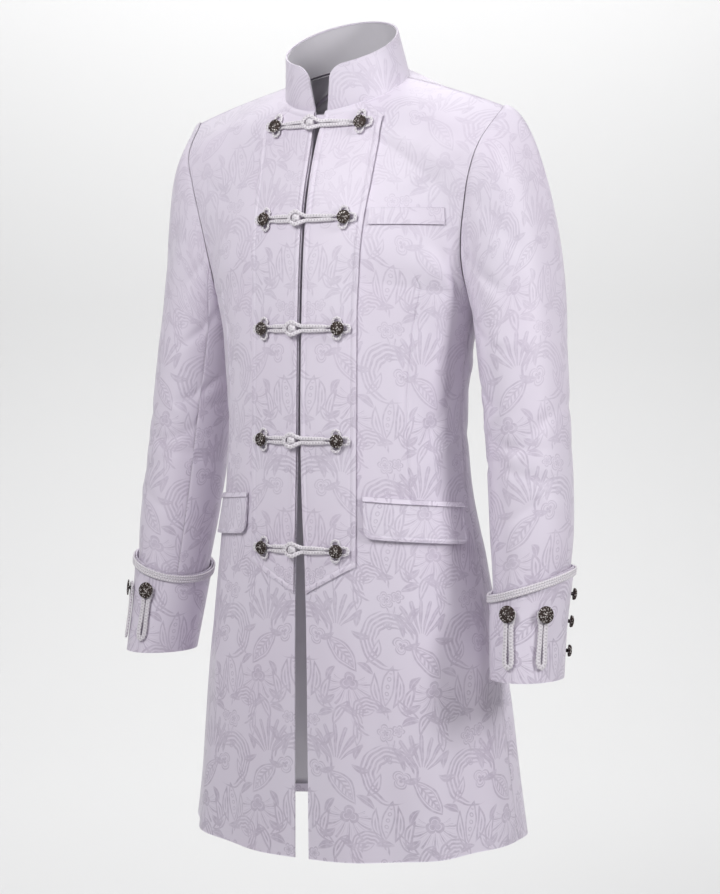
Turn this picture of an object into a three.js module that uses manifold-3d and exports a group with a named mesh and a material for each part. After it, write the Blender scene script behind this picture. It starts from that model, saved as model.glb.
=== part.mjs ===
// Knee-length frock coat with a stand collar, filled out as if worn.
// Millimetres, +Z up, the front faces -Y and the wearer's left is +X.
// The origin lies between the shoulders, where the wearer carries the coat.
import * as THREE from 'three';
import * as BufferGeometryUtils from 'three/addons/utils/BufferGeometryUtils.js';
import Module from 'manifold-3d';

const wasm = await Module();
wasm.setup();

// Cloth walls and the gaps between the pieces
const CLOTH = 1.8;
const LINING = 1.0;
const SEAM_GAP = 0.3;
const LAYER_GAP = 0.8;
const ARMHOLE_GAP = 1.4;

// Neck seam, an oval that drops towards the front, and the collar's upper edge
const NECK = { width: 80, depth: 68, y: 6, z: -21.5, drop: 35.5, crown: 4 };
const COLLAR_TOP = { width: 72, depth: 64, y: -8, z: 32, drop: 36, crown: 0 };
const COLLAR_BASE_ANGLE = 6;
const COLLAR_TOP_ANGLE = 13;
const COLLAR_CORNER = 16;
const COLLAR_THICK = 2.2;

// Front panel above the armpit: inner edge, then armhole edge, then how the cloth
// leaves one and reaches the other (turn in plan, rise upwards, reach of the curve)
const FRONT_COLUMNS = ['neckAngle', 'ly', 'lz', 'ax', 'ay', 'az', 'turnL', 'riseL', 'reachL',
  'turnA', 'riseA', 'reachA'];
const FRONT_ROWS = [
  [100, 0, 0, 214, 5, -55, -7, -14, 47, -4, -22, 47],
  [62, 0, 0, 203, -42, -100, -16, -18, 50, 12, -30, 46],
  [26, 0, 0, 192, -51, -140, -8, -22, 62, 24, -38, 52],
  [5.7, 0, 0, 184, -48, -180, -4, -20, 72, 36, -40, 56],
  [0, -84, -112, 178, -43, -215, 0, -16, 80, 50, -36, 58],
  [0, -100, -165, 175, -35, -245, 0, -12, 88, 62, -30, 62],
  [0, -108, -215, 175, -20, -272, 0, -8, 96, 76, -18, 68],
  [0, -112, -262, 177, 12, -288, 0, -3, 102, 89, -5, 72],
];

// Back panel above the armpit, in the same columns
const BACK_ROWS = [
  [100, 0, 0, 214, 5, -55, -7, -14, 47, -4, -22, 47],
  [140, 0, 0, 205, 48, -100, 6, -20, 50, -20, -40, 48],
  [180, 0, 0, 196, 62, -140, 4, -14, 66, -30, -46, 56],
  [0, 95, -36, 190, 66, -180, 2, -8, 78, -42, -44, 58],
  [0, 111, -92, 185, 60, -215, 0, -5, 88, -54, -36, 62],
  [0, 120, -150, 180, 45, -250, 0, -3, 96, -66, -28, 68],
  [0, 125, -208, 177, 28, -278, 0, -2, 102, -80, -16, 72],
  [0, 127, -262, 177, 12, -288, 0, -1, 104, -89, -5, 72],
];

// Body below the armpit: half width, side seam, centre front and centre back
const RING_COLUMNS = ['z', 'half', 'side', 'front', 'back'];
const RING_ROWS = [
  [-330, 165, 11, -115, 128],
  [-395, 157, 10, -116.5, 125],
  [-456, 156.5, 10, -117, 119],
  [-525, 161.5, 13, -116.5, 125],
  [-600, 174, 20, -115, 144],
  [-690, 188, 29, -114, 167],
  [-780, 199, 36, -113, 184],
  [-870, 209, 38, -112, 192],
  [-960, 219, 38, -111, 198],
];
const ROUND_FRONT = 0.58;
const ROUND_BACK = 0.57;
const HEM_LIFT = { front: -1, side: 14, back: 12 };

// Half of the slit between the two fronts, by height
const SLIT_ROWS = [[-50, 8], [-75, 3.2], [-110, 1.6], [-430, 1.5], [-500, 2.4], [-560, 4.2], [-610, 6.4],
  [-700, 8], [-965, 9.6]];

// Sleeve rings: centre, then how far they reach outwards, inwards, forwards and back
const SLEEVE_COLUMNS = ['z', 'cx', 'cy', 'outer', 'inner', 'fore', 'aft'];
const SLEEVE_ROWS = [
  [-340, 221, 31, 59, 45.5, 73, 64],
  [-395, 229.5, 26, 55.5, 47, 67, 62],
  [-450, 236.5, 21, 53, 47, 63, 61],
  [-515, 242.5, 15, 52.4, 47, 60, 60],
  [-570, 247, 7.5, 51, 46, 57.5, 57.5],
  [-620, 250, 0, 46, 42.5, 54, 54],
  [-680, 253, -11, 40.5, 40.5, 52, 52],
  [-740, 256.5, -24, 38.8, 38.8, 50, 50],
];
const SLEEVE_ANGLES = [0, 34, 60, 86, 111, 134, 157, 180];
const SLEEVE_SEAM_ROW = 5;
const CAP_STEPS = 5;
const CAP_LEAN = new THREE.Vector3(2, 13, 0);
const SLEEVE_END = -733;

// Turned-back cuff: slanting upper edge, highest behind the outer side
const CUFF = { bottom: -736, top: -623, slant: 16, lowest: 155, vent: -48, off: 1.5, flare: 0.8 };
const CUFF_BRAID = { tall: 9, thick: 3.2 };
const CUFF_BUTTON_ANGLES = [91, 43];
const CUFF_BUTTON_Z = -658;
const CUFF_LOOP = { long: 61, pitch: 6.4, cord: 5.4 };
const VENT_BUTTONS = { angle: -34, heights: [-641, -673, -707] };

// Bib panels: half width by height, slanting top and pointed foot
const BIB_ROWS = [[-68, 83.5], [-188, 76.5], [-295, 71.5], [-432, 71], [-608, 71]];
const BIB = {
  thick: 1.6,
  inset: 1.2,
  innerX: 9.5,
  seamX: 54,
  underCollar: 2.5,
  topX: 83.5,
  topZ: -68,
  pointZ: -642,
  cornerZ: -607,
  lift: 1.6,
  liftFrom: -46,
  liftOver: 64,
};

// Frogs: heights, distance of the buttons from the centre, and the toggle's place
const FROG_HEIGHTS = [-76, -192, -324, -458, -589];
const FROG_BUTTON_X = [58.5, 54, 50.5, 50, 49.5];
const FROG = { cord: 4.8, pitch: 5.5, knotX: -6.5, knot: 4.5, loop: 7.6, lift: 5.6 };

// Pockets
const FLAP = { from: 77, to: 212, topZ: -523, fall: 11, tall: 50, thick: 1.8, welt: 6, corner: 10 };
const CHEST_WELT = { from: 82, to: 164, z: -180, tall: 20, thick: 1.6 };

const BUTTONS = {
  front: { radius: 8.3, tall: 8.4 },
  cuff: { radius: 10.2, tall: 8.6 },
  vent: { radius: 7.2, tall: 7 },
};

const MATERIALS = {
  jacquard: new THREE.MeshStandardMaterial({ color: 0xd9d2e2, roughness: 0.55, metalness: 0 }),
  lining: new THREE.MeshStandardMaterial({ color: 0xb9bac0, roughness: 0.45, metalness: 0 }),
  braid: new THREE.MeshStandardMaterial({ color: 0xe6e2ea, roughness: 0.6, metalness: 0 }),
  pewter: new THREE.MeshStandardMaterial({ color: 0x5b5654, roughness: 0.35, metalness: 0.9 }),
};

const radians = THREE.MathUtils.degToRad;
const vec = (x, y, z) => new THREE.Vector3(x, y, z);

// A row of a table with its named columns
function named(columns, row) {
  return Object.fromEntries(columns.map((name, index) => [name, row[index]]));
}

// Smooth value of one column at a place between the rows
function smooth(values, place) {
  const last = values.length - 1;
  const at = Math.min(Math.max(place, 0), last);
  const index = Math.min(Math.floor(at), last - 1);
  const f = at - index;
  const b = values[index];
  const c = values[index + 1];
  const a = index > 0 ? values[index - 1] : 2 * b - c;
  const d = index < last - 1 ? values[index + 2] : 2 * c - b;
  const slopeB = (c - a) / 2;
  const slopeC = (d - b) / 2;
  const f2 = f * f;
  const f3 = f2 * f;
  return (2 * f3 - 3 * f2 + 1) * b + (f3 - 2 * f2 + f) * slopeB
    + (3 * f2 - 2 * f3) * c + (f3 - f2) * slopeC;
}

// Straight-line value from rows of [key, value] with falling keys
function between(rows, key) {
  if (key >= rows[0][0]) return rows[0][1];
  for (let i = 1; i < rows.length; i += 1) {
    if (key >= rows[i][0]) {
      const part = (key - rows[i - 1][0]) / (rows[i][0] - rows[i - 1][0]);
      return rows[i - 1][1] + part * (rows[i][1] - rows[i - 1][1]);
    }
  }
  return rows[rows.length - 1][1];
}

function neckPoint(oval, angle) {
  const s = Math.sin(radians(angle));
  const c = Math.cos(radians(angle));
  return vec(oval.width * s, oval.y - oval.depth * c, oval.z - oval.drop * c + oval.crown * s * s);
}

function heading(turn, rise) {
  const t = radians(turn);
  const r = radians(rise);
  return vec(Math.cos(t) * Math.cos(r), Math.sin(t) * Math.cos(r), Math.sin(r));
}

// One row of a body panel: its two ends, and how the cloth leaves one and nears the other
function rowCurve(row) {
  const inner = row.neckAngle > 0
    ? neckPoint(NECK, row.neckAngle)
    : vec(row.isFront ? between(SLIT_ROWS, row.lz) : 0, row.ly, row.lz);
  const outer = vec(row.ax, row.ay, row.az);
  const leave = heading(row.turnL, row.riseL).multiplyScalar(row.reachL);
  const near = heading(row.turnA, row.riseA).multiplyScalar(-row.reachA);
  return { neckAngle: row.neckAngle, inner, leave, near, outer };
}

function ringCurve(ring, isFront) {
  const middle = isFront ? ring.front : ring.back;
  const round = isFront ? ROUND_FRONT : ROUND_BACK;
  const isHem = ring === HEM_RING;
  const lift = isHem ? (isFront ? HEM_LIFT.front : HEM_LIFT.back) : 0;
  const inner = vec(isFront ? between(SLIT_ROWS, ring.z) : 0, middle, ring.z + lift);
  const outer = vec(ring.half, ring.side, ring.z + (isHem ? HEM_LIFT.side : 0));
  const leave = vec(round * ring.half, 0, 0);
  const near = vec(0, round * (middle - ring.side), 0);
  return { neckAngle: 0, inner, leave, near, outer };
}

const rings = RING_ROWS.map((row) => named(RING_COLUMNS, row));
const HEM_RING = rings[rings.length - 1];

function panelRows(table, isFront) {
  const upper = table.map((row) => rowCurve({ ...named(FRONT_COLUMNS, row), isFront }));
  return upper.concat(rings.map((ring) => ringCurve(ring, isFront)));
}

const frontCurves = panelRows(FRONT_ROWS, true);
const backCurves = panelRows(BACK_ROWS, false);
const ARMPIT = FRONT_ROWS.length - 1;
const HEM_ROW = frontCurves.length - 1;

// Smooth place of one end or handle, on the rows from one table place on
function smoothVector(curves, name, down, from) {
  const rows = curves.slice(from);
  const axis = (key) => smooth(rows.map((curve) => curve[name][key]), down - from);
  return vec(axis('x'), axis('y'), axis('z'));
}

// The inner edge keeps to the neck seam, then runs down the middle of the coat
function innerEdge(curves, down) {
  const neckRows = curves.filter((curve) => curve.neckAngle > 0).length;
  if (down <= neckRows - 1) {
    return neckPoint(NECK, smooth(curves.slice(0, neckRows).map((curve) => curve.neckAngle), down));
  }
  return smoothVector(curves, 'inner', down, neckRows - 1);
}

// The outer edge runs round the armhole to the armpit, then down the side seam
function outerEdge(curves, down) {
  if (down < ARMPIT) return smoothVector(curves.slice(0, ARMPIT + 1), 'outer', down, 0);
  return smoothVector(curves, 'outer', down, ARMPIT);
}

// Soft upright flutes that open towards the hem
const FLUTE = { from: 8.5, depth: 4.5, waves: 2.5 };

// A point of a body panel: across from the middle to the side, down from the shoulder
function panelPoint(curves, across, down) {
  const inner = innerEdge(curves, down);
  const outer = outerEdge(curves, down);
  const leave = smoothVector(curves, 'leave', down, 0).add(inner);
  const near = smoothVector(curves, 'near', down, 0).add(outer);
  const point = new THREE.CubicBezierCurve3(inner, leave, near, outer).getPoint(across);
  const open = Math.max(0, (down - FLUTE.from) / (curves.length - 1 - FLUTE.from));
  const wave = Math.sin(across * FLUTE.waves * 2 * Math.PI) * Math.sin(across * Math.PI);
  const out = vec(point.x, point.y - outer.y, 0).normalize();
  return point.addScaledVector(out, FLUTE.depth * open * open * wave);
}

function normalAt(surface, across, down, outside) {
  const e = 0.01;
  const a = surface(Math.min(across + e, 1), down).sub(surface(Math.max(across - e, 0), down));
  const b = surface(across, down + e).sub(surface(across, Math.max(down - e, 0)));
  return a.cross(b).normalize().multiplyScalar(outside);
}

const frontSurface = (across, down) => panelPoint(frontCurves, across, down);
const backSurface = (across, down) => panelPoint(backCurves, across, down);
const FRONT_OUTSIDE = -1;

// The place on the front panel with a given x and z, found by stepping towards it
const searchGrid = [];
for (let i = 0; i <= 48; i += 1) {
  for (let j = 0; j <= 16; j += 1) {
    const down = (i / 48) * (frontCurves.length - 1);
    searchGrid.push({ across: j / 16, down, point: frontSurface(j / 16, down) });
  }
}

function placeOnFront(x, z) {
  const miss = (p) => (p.x - x) ** 2 + (p.z - z) ** 2;
  const nearest = searchGrid.reduce((a, b) => (miss(b.point) < miss(a.point) ? b : a));
  let { across, down } = nearest;
  for (let step = 0; step < 12; step += 1) {
    const p = frontSurface(across, down);
    const e = 0.004;
    const pa = frontSurface(across + e, down).sub(p).divideScalar(e);
    const pd = frontSurface(across, down + e).sub(p).divideScalar(e);
    const det = pa.x * pd.z - pa.z * pd.x;
    across += ((x - p.x) * pd.z - (z - p.z) * pd.x) / det;
    down += ((z - p.z) * pa.x - (x - p.x) * pa.z) / det;
    across = Math.min(Math.max(across, 0), 1);
    down = Math.min(Math.max(down, 0), frontCurves.length - 1.02);
  }
  return { across, down };
}

// A point over the front of the coat, on either side, at a height off the cloth
function overFront(x, z, height) {
  const edge = between(SLIT_ROWS, z) + 0.05;
  const place = placeOnFront(Math.max(Math.abs(x), edge), z);
  const point = frontSurface(place.across, place.down);
  const normal = normalAt(frontSurface, place.across, place.down, FRONT_OUTSIDE);
  if (Math.abs(x) < edge) {
    point.x = Math.abs(x);
    normal.x = 0;
    normal.normalize();
  }
  point.addScaledVector(normal, height);
  if (x < 0) {
    point.x = -point.x;
    normal.x = -normal.x;
  }
  return { point, normal };
}

// Grids are lists of rows of points. Their normals come from the neighbouring points.
function gridNormals(grid, closed, outside) {
  const rows = grid.length;
  const cols = grid[0].length;
  return grid.map((row, i) => row.map((_, j) => {
    const up = grid[Math.max(i - 1, 0)][j];
    const low = grid[Math.min(i + 1, rows - 1)][j];
    const before = closed ? row[(j - 1 + cols) % cols] : row[Math.max(j - 1, 0)];
    const after = closed ? row[(j + 1) % cols] : row[Math.min(j + 1, cols - 1)];
    const along = after.clone().sub(before);
    return along.cross(low.clone().sub(up)).normalize().multiplyScalar(outside);
  }));
}

// Draw the named edges of a grid in by a gap, along the cloth
function drawIn(grid, edges, gap) {
  const rows = grid.length - 1;
  const cols = grid[0].length - 1;
  const pull = (point, towards) => {
    const step = towards.clone().sub(point);
    point.addScaledVector(step, gap / step.length());
  };
  for (const edge of edges) {
    if (edge === 'first' || edge === 'last') {
      const at = edge === 'first' ? 0 : cols;
      const next = edge === 'first' ? 1 : cols - 1;
      grid.forEach((row) => pull(row[at], row[next]));
    } else {
      const at = edge === 'top' ? 0 : rows;
      const next = edge === 'top' ? 1 : rows - 1;
      grid[at].forEach((point, j) => pull(point, grid[next][j]));
    }
  }
}

// A closed wall between a grid and the same grid moved along its normals
function wallGeometry(grid, normals, thick) {
  const rows = grid.length;
  const cols = grid[0].length;
  const positions = [];
  const index = [];
  const number = (layer, i, j) => (layer * rows + i) * cols + j;
  for (const depth of [0, thick]) {
    grid.forEach((row, i) => row.forEach((point, j) => {
      const p = point.clone().addScaledVector(normals[i][j], -depth);
      positions.push(p.x, p.y, p.z);
    }));
  }
  const quad = (a, b, c, d) => index.push(a, b, c, a, c, d);
  for (let i = 0; i < rows - 1; i += 1) {
    for (let j = 0; j < cols - 1; j += 1) {
      quad(number(0, i, j), number(0, i + 1, j), number(0, i + 1, j + 1), number(0, i, j + 1));
      quad(number(1, i, j), number(1, i, j + 1), number(1, i + 1, j + 1), number(1, i + 1, j));
    }
    quad(number(0, i, 0), number(1, i, 0), number(1, i + 1, 0), number(0, i + 1, 0));
    const end = cols - 1;
    quad(number(0, i, end), number(0, i + 1, end), number(1, i + 1, end), number(1, i, end));
  }
  for (let j = 0; j < cols - 1; j += 1) {
    quad(number(0, 0, j), number(0, 0, j + 1), number(1, 0, j + 1), number(1, 0, j));
    const foot = rows - 1;
    quad(number(0, foot, j), number(1, foot, j), number(1, foot, j + 1), number(0, foot, j + 1));
  }
  return faceOutwards(positions, index);
}

function faceOutwards(positions, index) {
  const corner = (n) => vec(positions[3 * n], positions[3 * n + 1], positions[3 * n + 2]);
  let volume = 0;
  for (let t = 0; t < index.length; t += 3) {
    volume += corner(index[t]).dot(corner(index[t + 1]).cross(corner(index[t + 2])));
  }
  const faces = volume > 0 ? index : index.slice().reverse();
  const geometry = new THREE.BufferGeometry();
  geometry.setAttribute('position', new THREE.Float32BufferAttribute(positions, 3));
  geometry.setIndex(faces);
  geometry.computeVertexNormals();
  return geometry;
}

const coat = new THREE.Group();

function add(name, material, geometry) {
  const mesh = new THREE.Mesh(geometry, material);
  mesh.name = name;
  coat.add(mesh);
}

const mirrored = (grid) => grid.map((row) => row.map((p) => vec(-p.x, p.y, p.z)));

function addPair(stem, material, grid, normals, thick) {
  add(`${stem}_left`, material, wallGeometry(grid, normals, thick));
  add(`${stem}_right`, material, wallGeometry(mirrored(grid), mirrored(normals), thick));
}

// Rows of the body grids: two for each step to the armpit, then down to the hem
const DOWN_STEPS = [];
for (let i = 0; i < ARMPIT * 2; i += 1) DOWN_STEPS.push(i / 2);
for (let down = ARMPIT; down < HEM_ROW - 0.01; down += 1) DOWN_STEPS.push(down);
DOWN_STEPS.push(HEM_ROW);
const ACROSS = 9;

function bodyGrid(surface) {
  return DOWN_STEPS.map((down) => {
    const row = [];
    for (let j = 0; j <= ACROSS; j += 1) row.push(surface(j / ACROSS, down));
    return row;
  });
}

// Two panels share the direction of their walls where they are sewn together
function shareNormal(a, b) {
  const mean = a.clone().add(b).normalize();
  a.copy(mean);
  b.copy(mean);
}

function buildBody() {
  const front = bodyGrid(frontSurface);
  const back = bodyGrid(backSurface);
  const frontNormals = gridNormals(front, false, FRONT_OUTSIDE);
  const backNormals = gridNormals(back, false, -FRONT_OUTSIDE);
  for (let j = 0; j <= ACROSS; j += 1) shareNormal(frontNormals[0][j], backNormals[0][j]);
  for (let i = ARMPIT * 2; i < front.length; i += 1) {
    shareNormal(frontNormals[i][ACROSS], backNormals[i][ACROSS]);
  }
  backNormals.forEach((row, i) => {
    if (i >= LINING_TOP_ROW) row[0].setX(0).normalize();
  });
  const lining = buildLining(back, backNormals);
  drawIn(front, ['top'], SEAM_GAP / 2);
  drawIn(back, ['top', 'first'], SEAM_GAP / 2);
  for (const grid of [front, back]) {
    for (let i = ARMPIT * 2; i < grid.length; i += 1) {
      const row = grid[i];
      const step = row[ACROSS - 1].clone().sub(row[ACROSS]);
      row[ACROSS].addScaledVector(step, SEAM_GAP / 2 / step.length());
    }
  }
  addPair('front', MATERIALS.jacquard, front, frontNormals, CLOTH);
  addPair('back', MATERIALS.jacquard, back, backNormals, CLOTH);
  add('back_lining', MATERIALS.lining, lining);
}

// Lining of the back, one piece from side to side, a little short of the hem
const LINING_COLUMNS = [0, 2, 4, 6, 8];
const LINING_GAP = 1.6;
const LINING_HEM = 14;
const LINING_TOP_ROW = 4;

function buildLining(back, normals) {
  const last = back.length - 1;
  const half = [];
  const halfNormals = [];
  for (let i = LINING_TOP_ROW; i <= last; i += 1) {
    const row = LINING_COLUMNS.map((j) => {
      const point = back[i][j].clone();
      if (i === last) {
        const up = back[i - 1][j].clone().sub(point);
        point.addScaledVector(up, LINING_HEM / up.length());
      }
      return point.addScaledVector(normals[i][j], -CLOTH - LINING_GAP);
    });
    half.push(row);
    halfNormals.push(LINING_COLUMNS.map((j) => normals[i][j].clone()));
  }
  const join = (grid) => mirrored(grid).map((row, i) => row.slice(1).reverse().concat(grid[i]));
  const whole = join(half);
  drawIn(whole, ['top'], 2);
  return wallGeometry(whole, join(halfNormals), LINING);
}

// Collar: an upright band whose front ends lean apart and have round corners
const COLLAR_ACROSS = 24;
const COLLAR_UP = 4;

function collarPoint(part, up) {
  const openAngle = COLLAR_BASE_ANGLE + (COLLAR_TOP_ANGLE - COLLAR_BASE_ANGLE) * up;
  const angle = openAngle + (360 - 2 * openAngle) * part;
  return neckPoint(NECK, angle).lerp(neckPoint(COLLAR_TOP, angle), up);
}

// Even steps from 0 to 1, drawn a little towards both ends
function closerAtEnds(part, amount) {
  return part - Math.sin(2 * Math.PI * part) * amount;
}

const COLLAR_FOOT = 0.6;

function collarGrid(inwards, short, rowsUp) {
  const tall = neckPoint(NECK, 0).distanceTo(neckPoint(COLLAR_TOP, 0));
  const grid = [];
  for (let i = 0; i <= rowsUp; i += 1) {
    const row = [];
    for (let j = 0; j <= COLLAR_ACROSS; j += 1) {
      const part = j / COLLAR_ACROSS;
      const spread = closerAtEnds(part, 0.06);
      const fromEnd = Math.min(spread, 1 - spread) * 2 * Math.PI * COLLAR_TOP.depth;
      const cut = Math.max(COLLAR_CORNER - fromEnd, 0);
      const rounding = COLLAR_CORNER - Math.sqrt(COLLAR_CORNER ** 2 - cut ** 2);
      const top = 1 - (rounding + short) / tall;
      const foot = COLLAR_FOOT / tall;
      const point = collarPoint(spread, foot + (top - foot) * (1 - i / rowsUp));
      row.push(point);
    }
    grid.push(row);
  }
  const normals = gridNormals(grid, false, FRONT_OUTSIDE);
  if (inwards > 0) {
    grid.forEach((row, i) => row.forEach((p, j) => p.addScaledVector(normals[i][j], -inwards)));
  }
  return { grid, normals };
}

function buildCollar() {
  const outer = collarGrid(0, 0, COLLAR_UP);
  add('collar', MATERIALS.jacquard, wallGeometry(outer.grid, outer.normals, COLLAR_THICK));
  const inner = collarGrid(COLLAR_THICK + SEAM_GAP, 1.5, 2);
  drawIn(inner.grid, ['first', 'last'], 1.5);
  add('collar_lining', MATERIALS.lining, wallGeometry(inner.grid, inner.normals, LINING));
}

// Sleeve: from the armhole over a rounded cap into rings that follow the arm
const sleeveRings = SLEEVE_ROWS.map((row) => named(SLEEVE_COLUMNS, row));

function sleeveRingAt(z) {
  const zs = sleeveRings.map((ring) => ring.z);
  let place = 0;
  while (place < zs.length - 2 && zs[place + 1] > z) place += 1;
  place += (z - zs[place]) / (zs[place + 1] - zs[place]);
  const ring = { z };
  for (const name of SLEEVE_COLUMNS.slice(1)) {
    ring[name] = smooth(sleeveRings.map((entry) => entry[name]), place);
  }
  return ring;
}

function ringPoint(ring, angle, grow) {
  const c = Math.cos(radians(angle));
  const s = Math.sin(radians(angle));
  const reachX = (c > 0 ? ring.outer : ring.inner) + grow;
  const reachY = (s > 0 ? ring.fore : ring.aft) + grow;
  return vec(ring.cx + reachX * c, ring.cy - reachY * s, ring.z);
}

// The armhole in order round the arm, with the angle that each place keeps down the sleeve
function armholePlaces() {
  const places = [];
  for (let i = 0; i < ARMPIT * 2; i += 1) {
    const angle = smooth(SLEEVE_ANGLES, i / 2);
    places.push({ angle, point: frontSurface(1, i / 2) });
  }
  for (let i = ARMPIT * 2; i > 0; i -= 1) {
    const angle = 360 - smooth(SLEEVE_ANGLES, i / 2);
    places.push({ angle, point: backSurface(1, i / 2) });
  }
  return places;
}

// How the cap leaves the armhole: outwards on top, down at the armpit
function capHeading(angle) {
  const high = Math.cos(radians(angle / 2)) ** 2;
  const out = 0.12 + 0.88 * high ** 0.6;
  const fore = -0.42 * Math.sin(radians(angle));
  const fall = -(0.1 + 0.9 * (1 - high));
  return vec(out, fore, fall).multiplyScalar(26 + 98 * high);
}

function sleeveGrid() {
  const places = armholePlaces();
  const top = sleeveRings[0];
  const next = sleeveRingAt(top.z - 10);
  const rows = [];
  for (let step = 0; step < CAP_STEPS; step += 1) {
    const f = step / CAP_STEPS;
    rows.push(places.map(({ angle, point }) => {
      const high = Math.cos(radians(angle / 2)) ** 2;
      const start = point.clone().add(vec(ARMHOLE_GAP, 0, ARMHOLE_GAP * high * high));
      const lean = high * Math.sin(Math.PI * f);
      const end = ringPoint(top, angle, 0);
      const leave = capHeading(angle);
      const arrive = ringPoint(next, angle, 0).sub(end).normalize();
      arrive.multiplyScalar(start.distanceTo(end) * 1.05);
      const f2 = f * f;
      const f3 = f2 * f;
      return start.multiplyScalar(2 * f3 - 3 * f2 + 1)
        .addScaledVector(leave, f3 - 2 * f2 + f)
        .addScaledVector(end, 3 * f2 - 2 * f3)
        .addScaledVector(arrive, f3 - f2)
        .addScaledVector(CAP_LEAN, lean);
    }));
  }
  for (const z of [-340, -385, -430, -480, -540, -600, -665, SLEEVE_END]) {
    const ring = sleeveRingAt(z);
    rows.push(places.map(({ angle }) => ringPoint(ring, angle, 0)));
  }
  return rows;
}

function buildSleeves() {
  const grid = sleeveGrid();
  const normals = gridNormals(grid, true, -FRONT_OUTSIDE);
  const around = grid[0].length;
  const frontSeam = SLEEVE_SEAM_ROW * 2;
  const backSeam = around - frontSeam;
  const cut = (rows, from, to) => rows.map((row) => {
    const part = [];
    for (let j = from; j <= to; j += 1) part.push(row[(j + around) % around].clone());
    return part;
  });
  const upper = cut(grid, backSeam - around, frontSeam);
  const under = cut(grid, frontSeam, backSeam);
  drawIn(upper, ['first', 'last'], SEAM_GAP / 2);
  drawIn(under, ['first', 'last'], SEAM_GAP / 2);
  const upperNormals = cut(normals, backSeam - around, frontSeam);
  const underNormals = cut(normals, frontSeam, backSeam);
  addPair('sleeve_upper', MATERIALS.jacquard, upper, upperNormals, CLOTH);
  addPair('sleeve_under', MATERIALS.jacquard, under, underNormals, CLOTH);
}

const cuffTop = (angle) => CUFF.top - CUFF.slant * Math.cos(radians(angle - CUFF.lowest));

// A point over the cuff's outer side, at a height off its cloth
function overCuff(angle, z, height) {
  const rise = (z - CUFF.bottom) / (CUFF.top - CUFF.bottom);
  const grow = CUFF.off + CLOTH + CUFF.flare * rise + height;
  return ringPoint(sleeveRingAt(z), angle, grow);
}

function cuffGrid(fromTop, rowsDown, height, bottomOf) {
  const around = 24;
  const grid = [];
  for (let i = 0; i <= rowsDown; i += 1) {
    const row = [];
    for (let j = 0; j <= around; j += 1) {
      const angle = CUFF.vent + 0.7 + (360 - 1.4) * (j / around);
      const top = cuffTop(angle) + fromTop;
      const z = top + (bottomOf(angle) - top) * (i / rowsDown);
      row.push(overCuff(angle, z, height));
    }
    grid.push(row);
  }
  return grid;
}

function buildCuffs() {
  const cuff = cuffGrid(0, 4, 0, () => CUFF.bottom);
  addPair('cuff', MATERIALS.jacquard, cuff, gridNormals(cuff, false, -FRONT_OUTSIDE), CLOTH);
  const lift = SEAM_GAP + 0.2 + CUFF_BRAID.thick;
  const braid = cuffGrid(-1, 1, lift, (angle) => cuffTop(angle) - 1 - CUFF_BRAID.tall);
  const braidNormals = gridNormals(braid, false, -FRONT_OUTSIDE);
  addPair('cuff_braid', MATERIALS.braid, braid, braidNormals, CUFF_BRAID.thick);
}

// Bib panels over the fronts, with a slanting top and a pointed foot
const bibHalf = (z) => between(BIB_ROWS, z);

function bibTop(x) {
  if (x < BIB.seamX) {
    const angle = Math.asin(x / NECK.width) * 180 / Math.PI;
    return neckPoint(NECK, angle).z - BIB.underCollar;
  }
  const seam = bibTop(BIB.seamX - 0.001);
  return seam + (BIB.topZ - seam) * (x - BIB.seamX) / (BIB.topX - BIB.seamX);
}

// The bib stands a little further off the fronts where it meets the collar
function bibLift(z) {
  return BIB.lift * Math.min(Math.max(1 - (BIB.liftFrom - z) / BIB.liftOver, 0), 1);
}

// Rows of the bib, closer together over the curve of the chest
const BIB_STEPS = [0, 0.018, 0.035, 0.07, 0.105, 0.14, 0.175, 0.21, 0.245, 0.28, 0.32, 0.37, 0.43, 0.5,
  0.58, 0.66, 0.74, 0.83, 0.92, 1];

function bibGrid(height) {
  const across = 5;
  const grid = [];
  for (const part of BIB_STEPS) {
    const row = [];
    for (let j = 0; j <= across; j += 1) {
      const t = j / across;
      const top = bibTop(BIB.innerX + (BIB.topX - BIB.innerX) * t);
      const foot = BIB.pointZ + (BIB.cornerZ - BIB.pointZ) * t;
      const z = top + (foot - top) * part;
      const inner = between(SLIT_ROWS, z) + BIB.inset;
      row.push(overFront(inner + (bibHalf(z) - inner) * t, z, height + bibLift(z)).point);
    }
    grid.push(row);
  }
  return grid;
}

function buildBibs() {
  const grid = bibGrid(LAYER_GAP + BIB.thick);
  addPair('bib', MATERIALS.jacquard, grid, gridNormals(grid, false, FRONT_OUTSIDE), BIB.thick);
}

// The height above the front cloth at which trims lie on the bib
const ON_BIB = LAYER_GAP + BIB.thick + 0.4;

// A place on the front panel by distance along the cloth from the centre front
function alongFront(distance, z, height) {
  const down = placeOnFront(60, z).down;
  const steps = 60;
  let travelled = 0;
  let last = frontSurface(0, down);
  for (let k = 1; k <= steps; k += 1) {
    const point = frontSurface(k / steps, down);
    const step = point.distanceTo(last);
    if (travelled + step >= distance) {
      const across = (k - 1 + (distance - travelled) / step) / steps;
      const normal = normalAt(frontSurface, across, down, FRONT_OUTSIDE);
      return frontSurface(across, down).addScaledVector(normal, height);
    }
    travelled += step;
    last = point;
  }
  return last;
}

// The flap's foot stands a little off the cloth, and a slit parts it from its welt
const FLAP_STAND = 2.2;
const WELT_GAP = 0.5;

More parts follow.
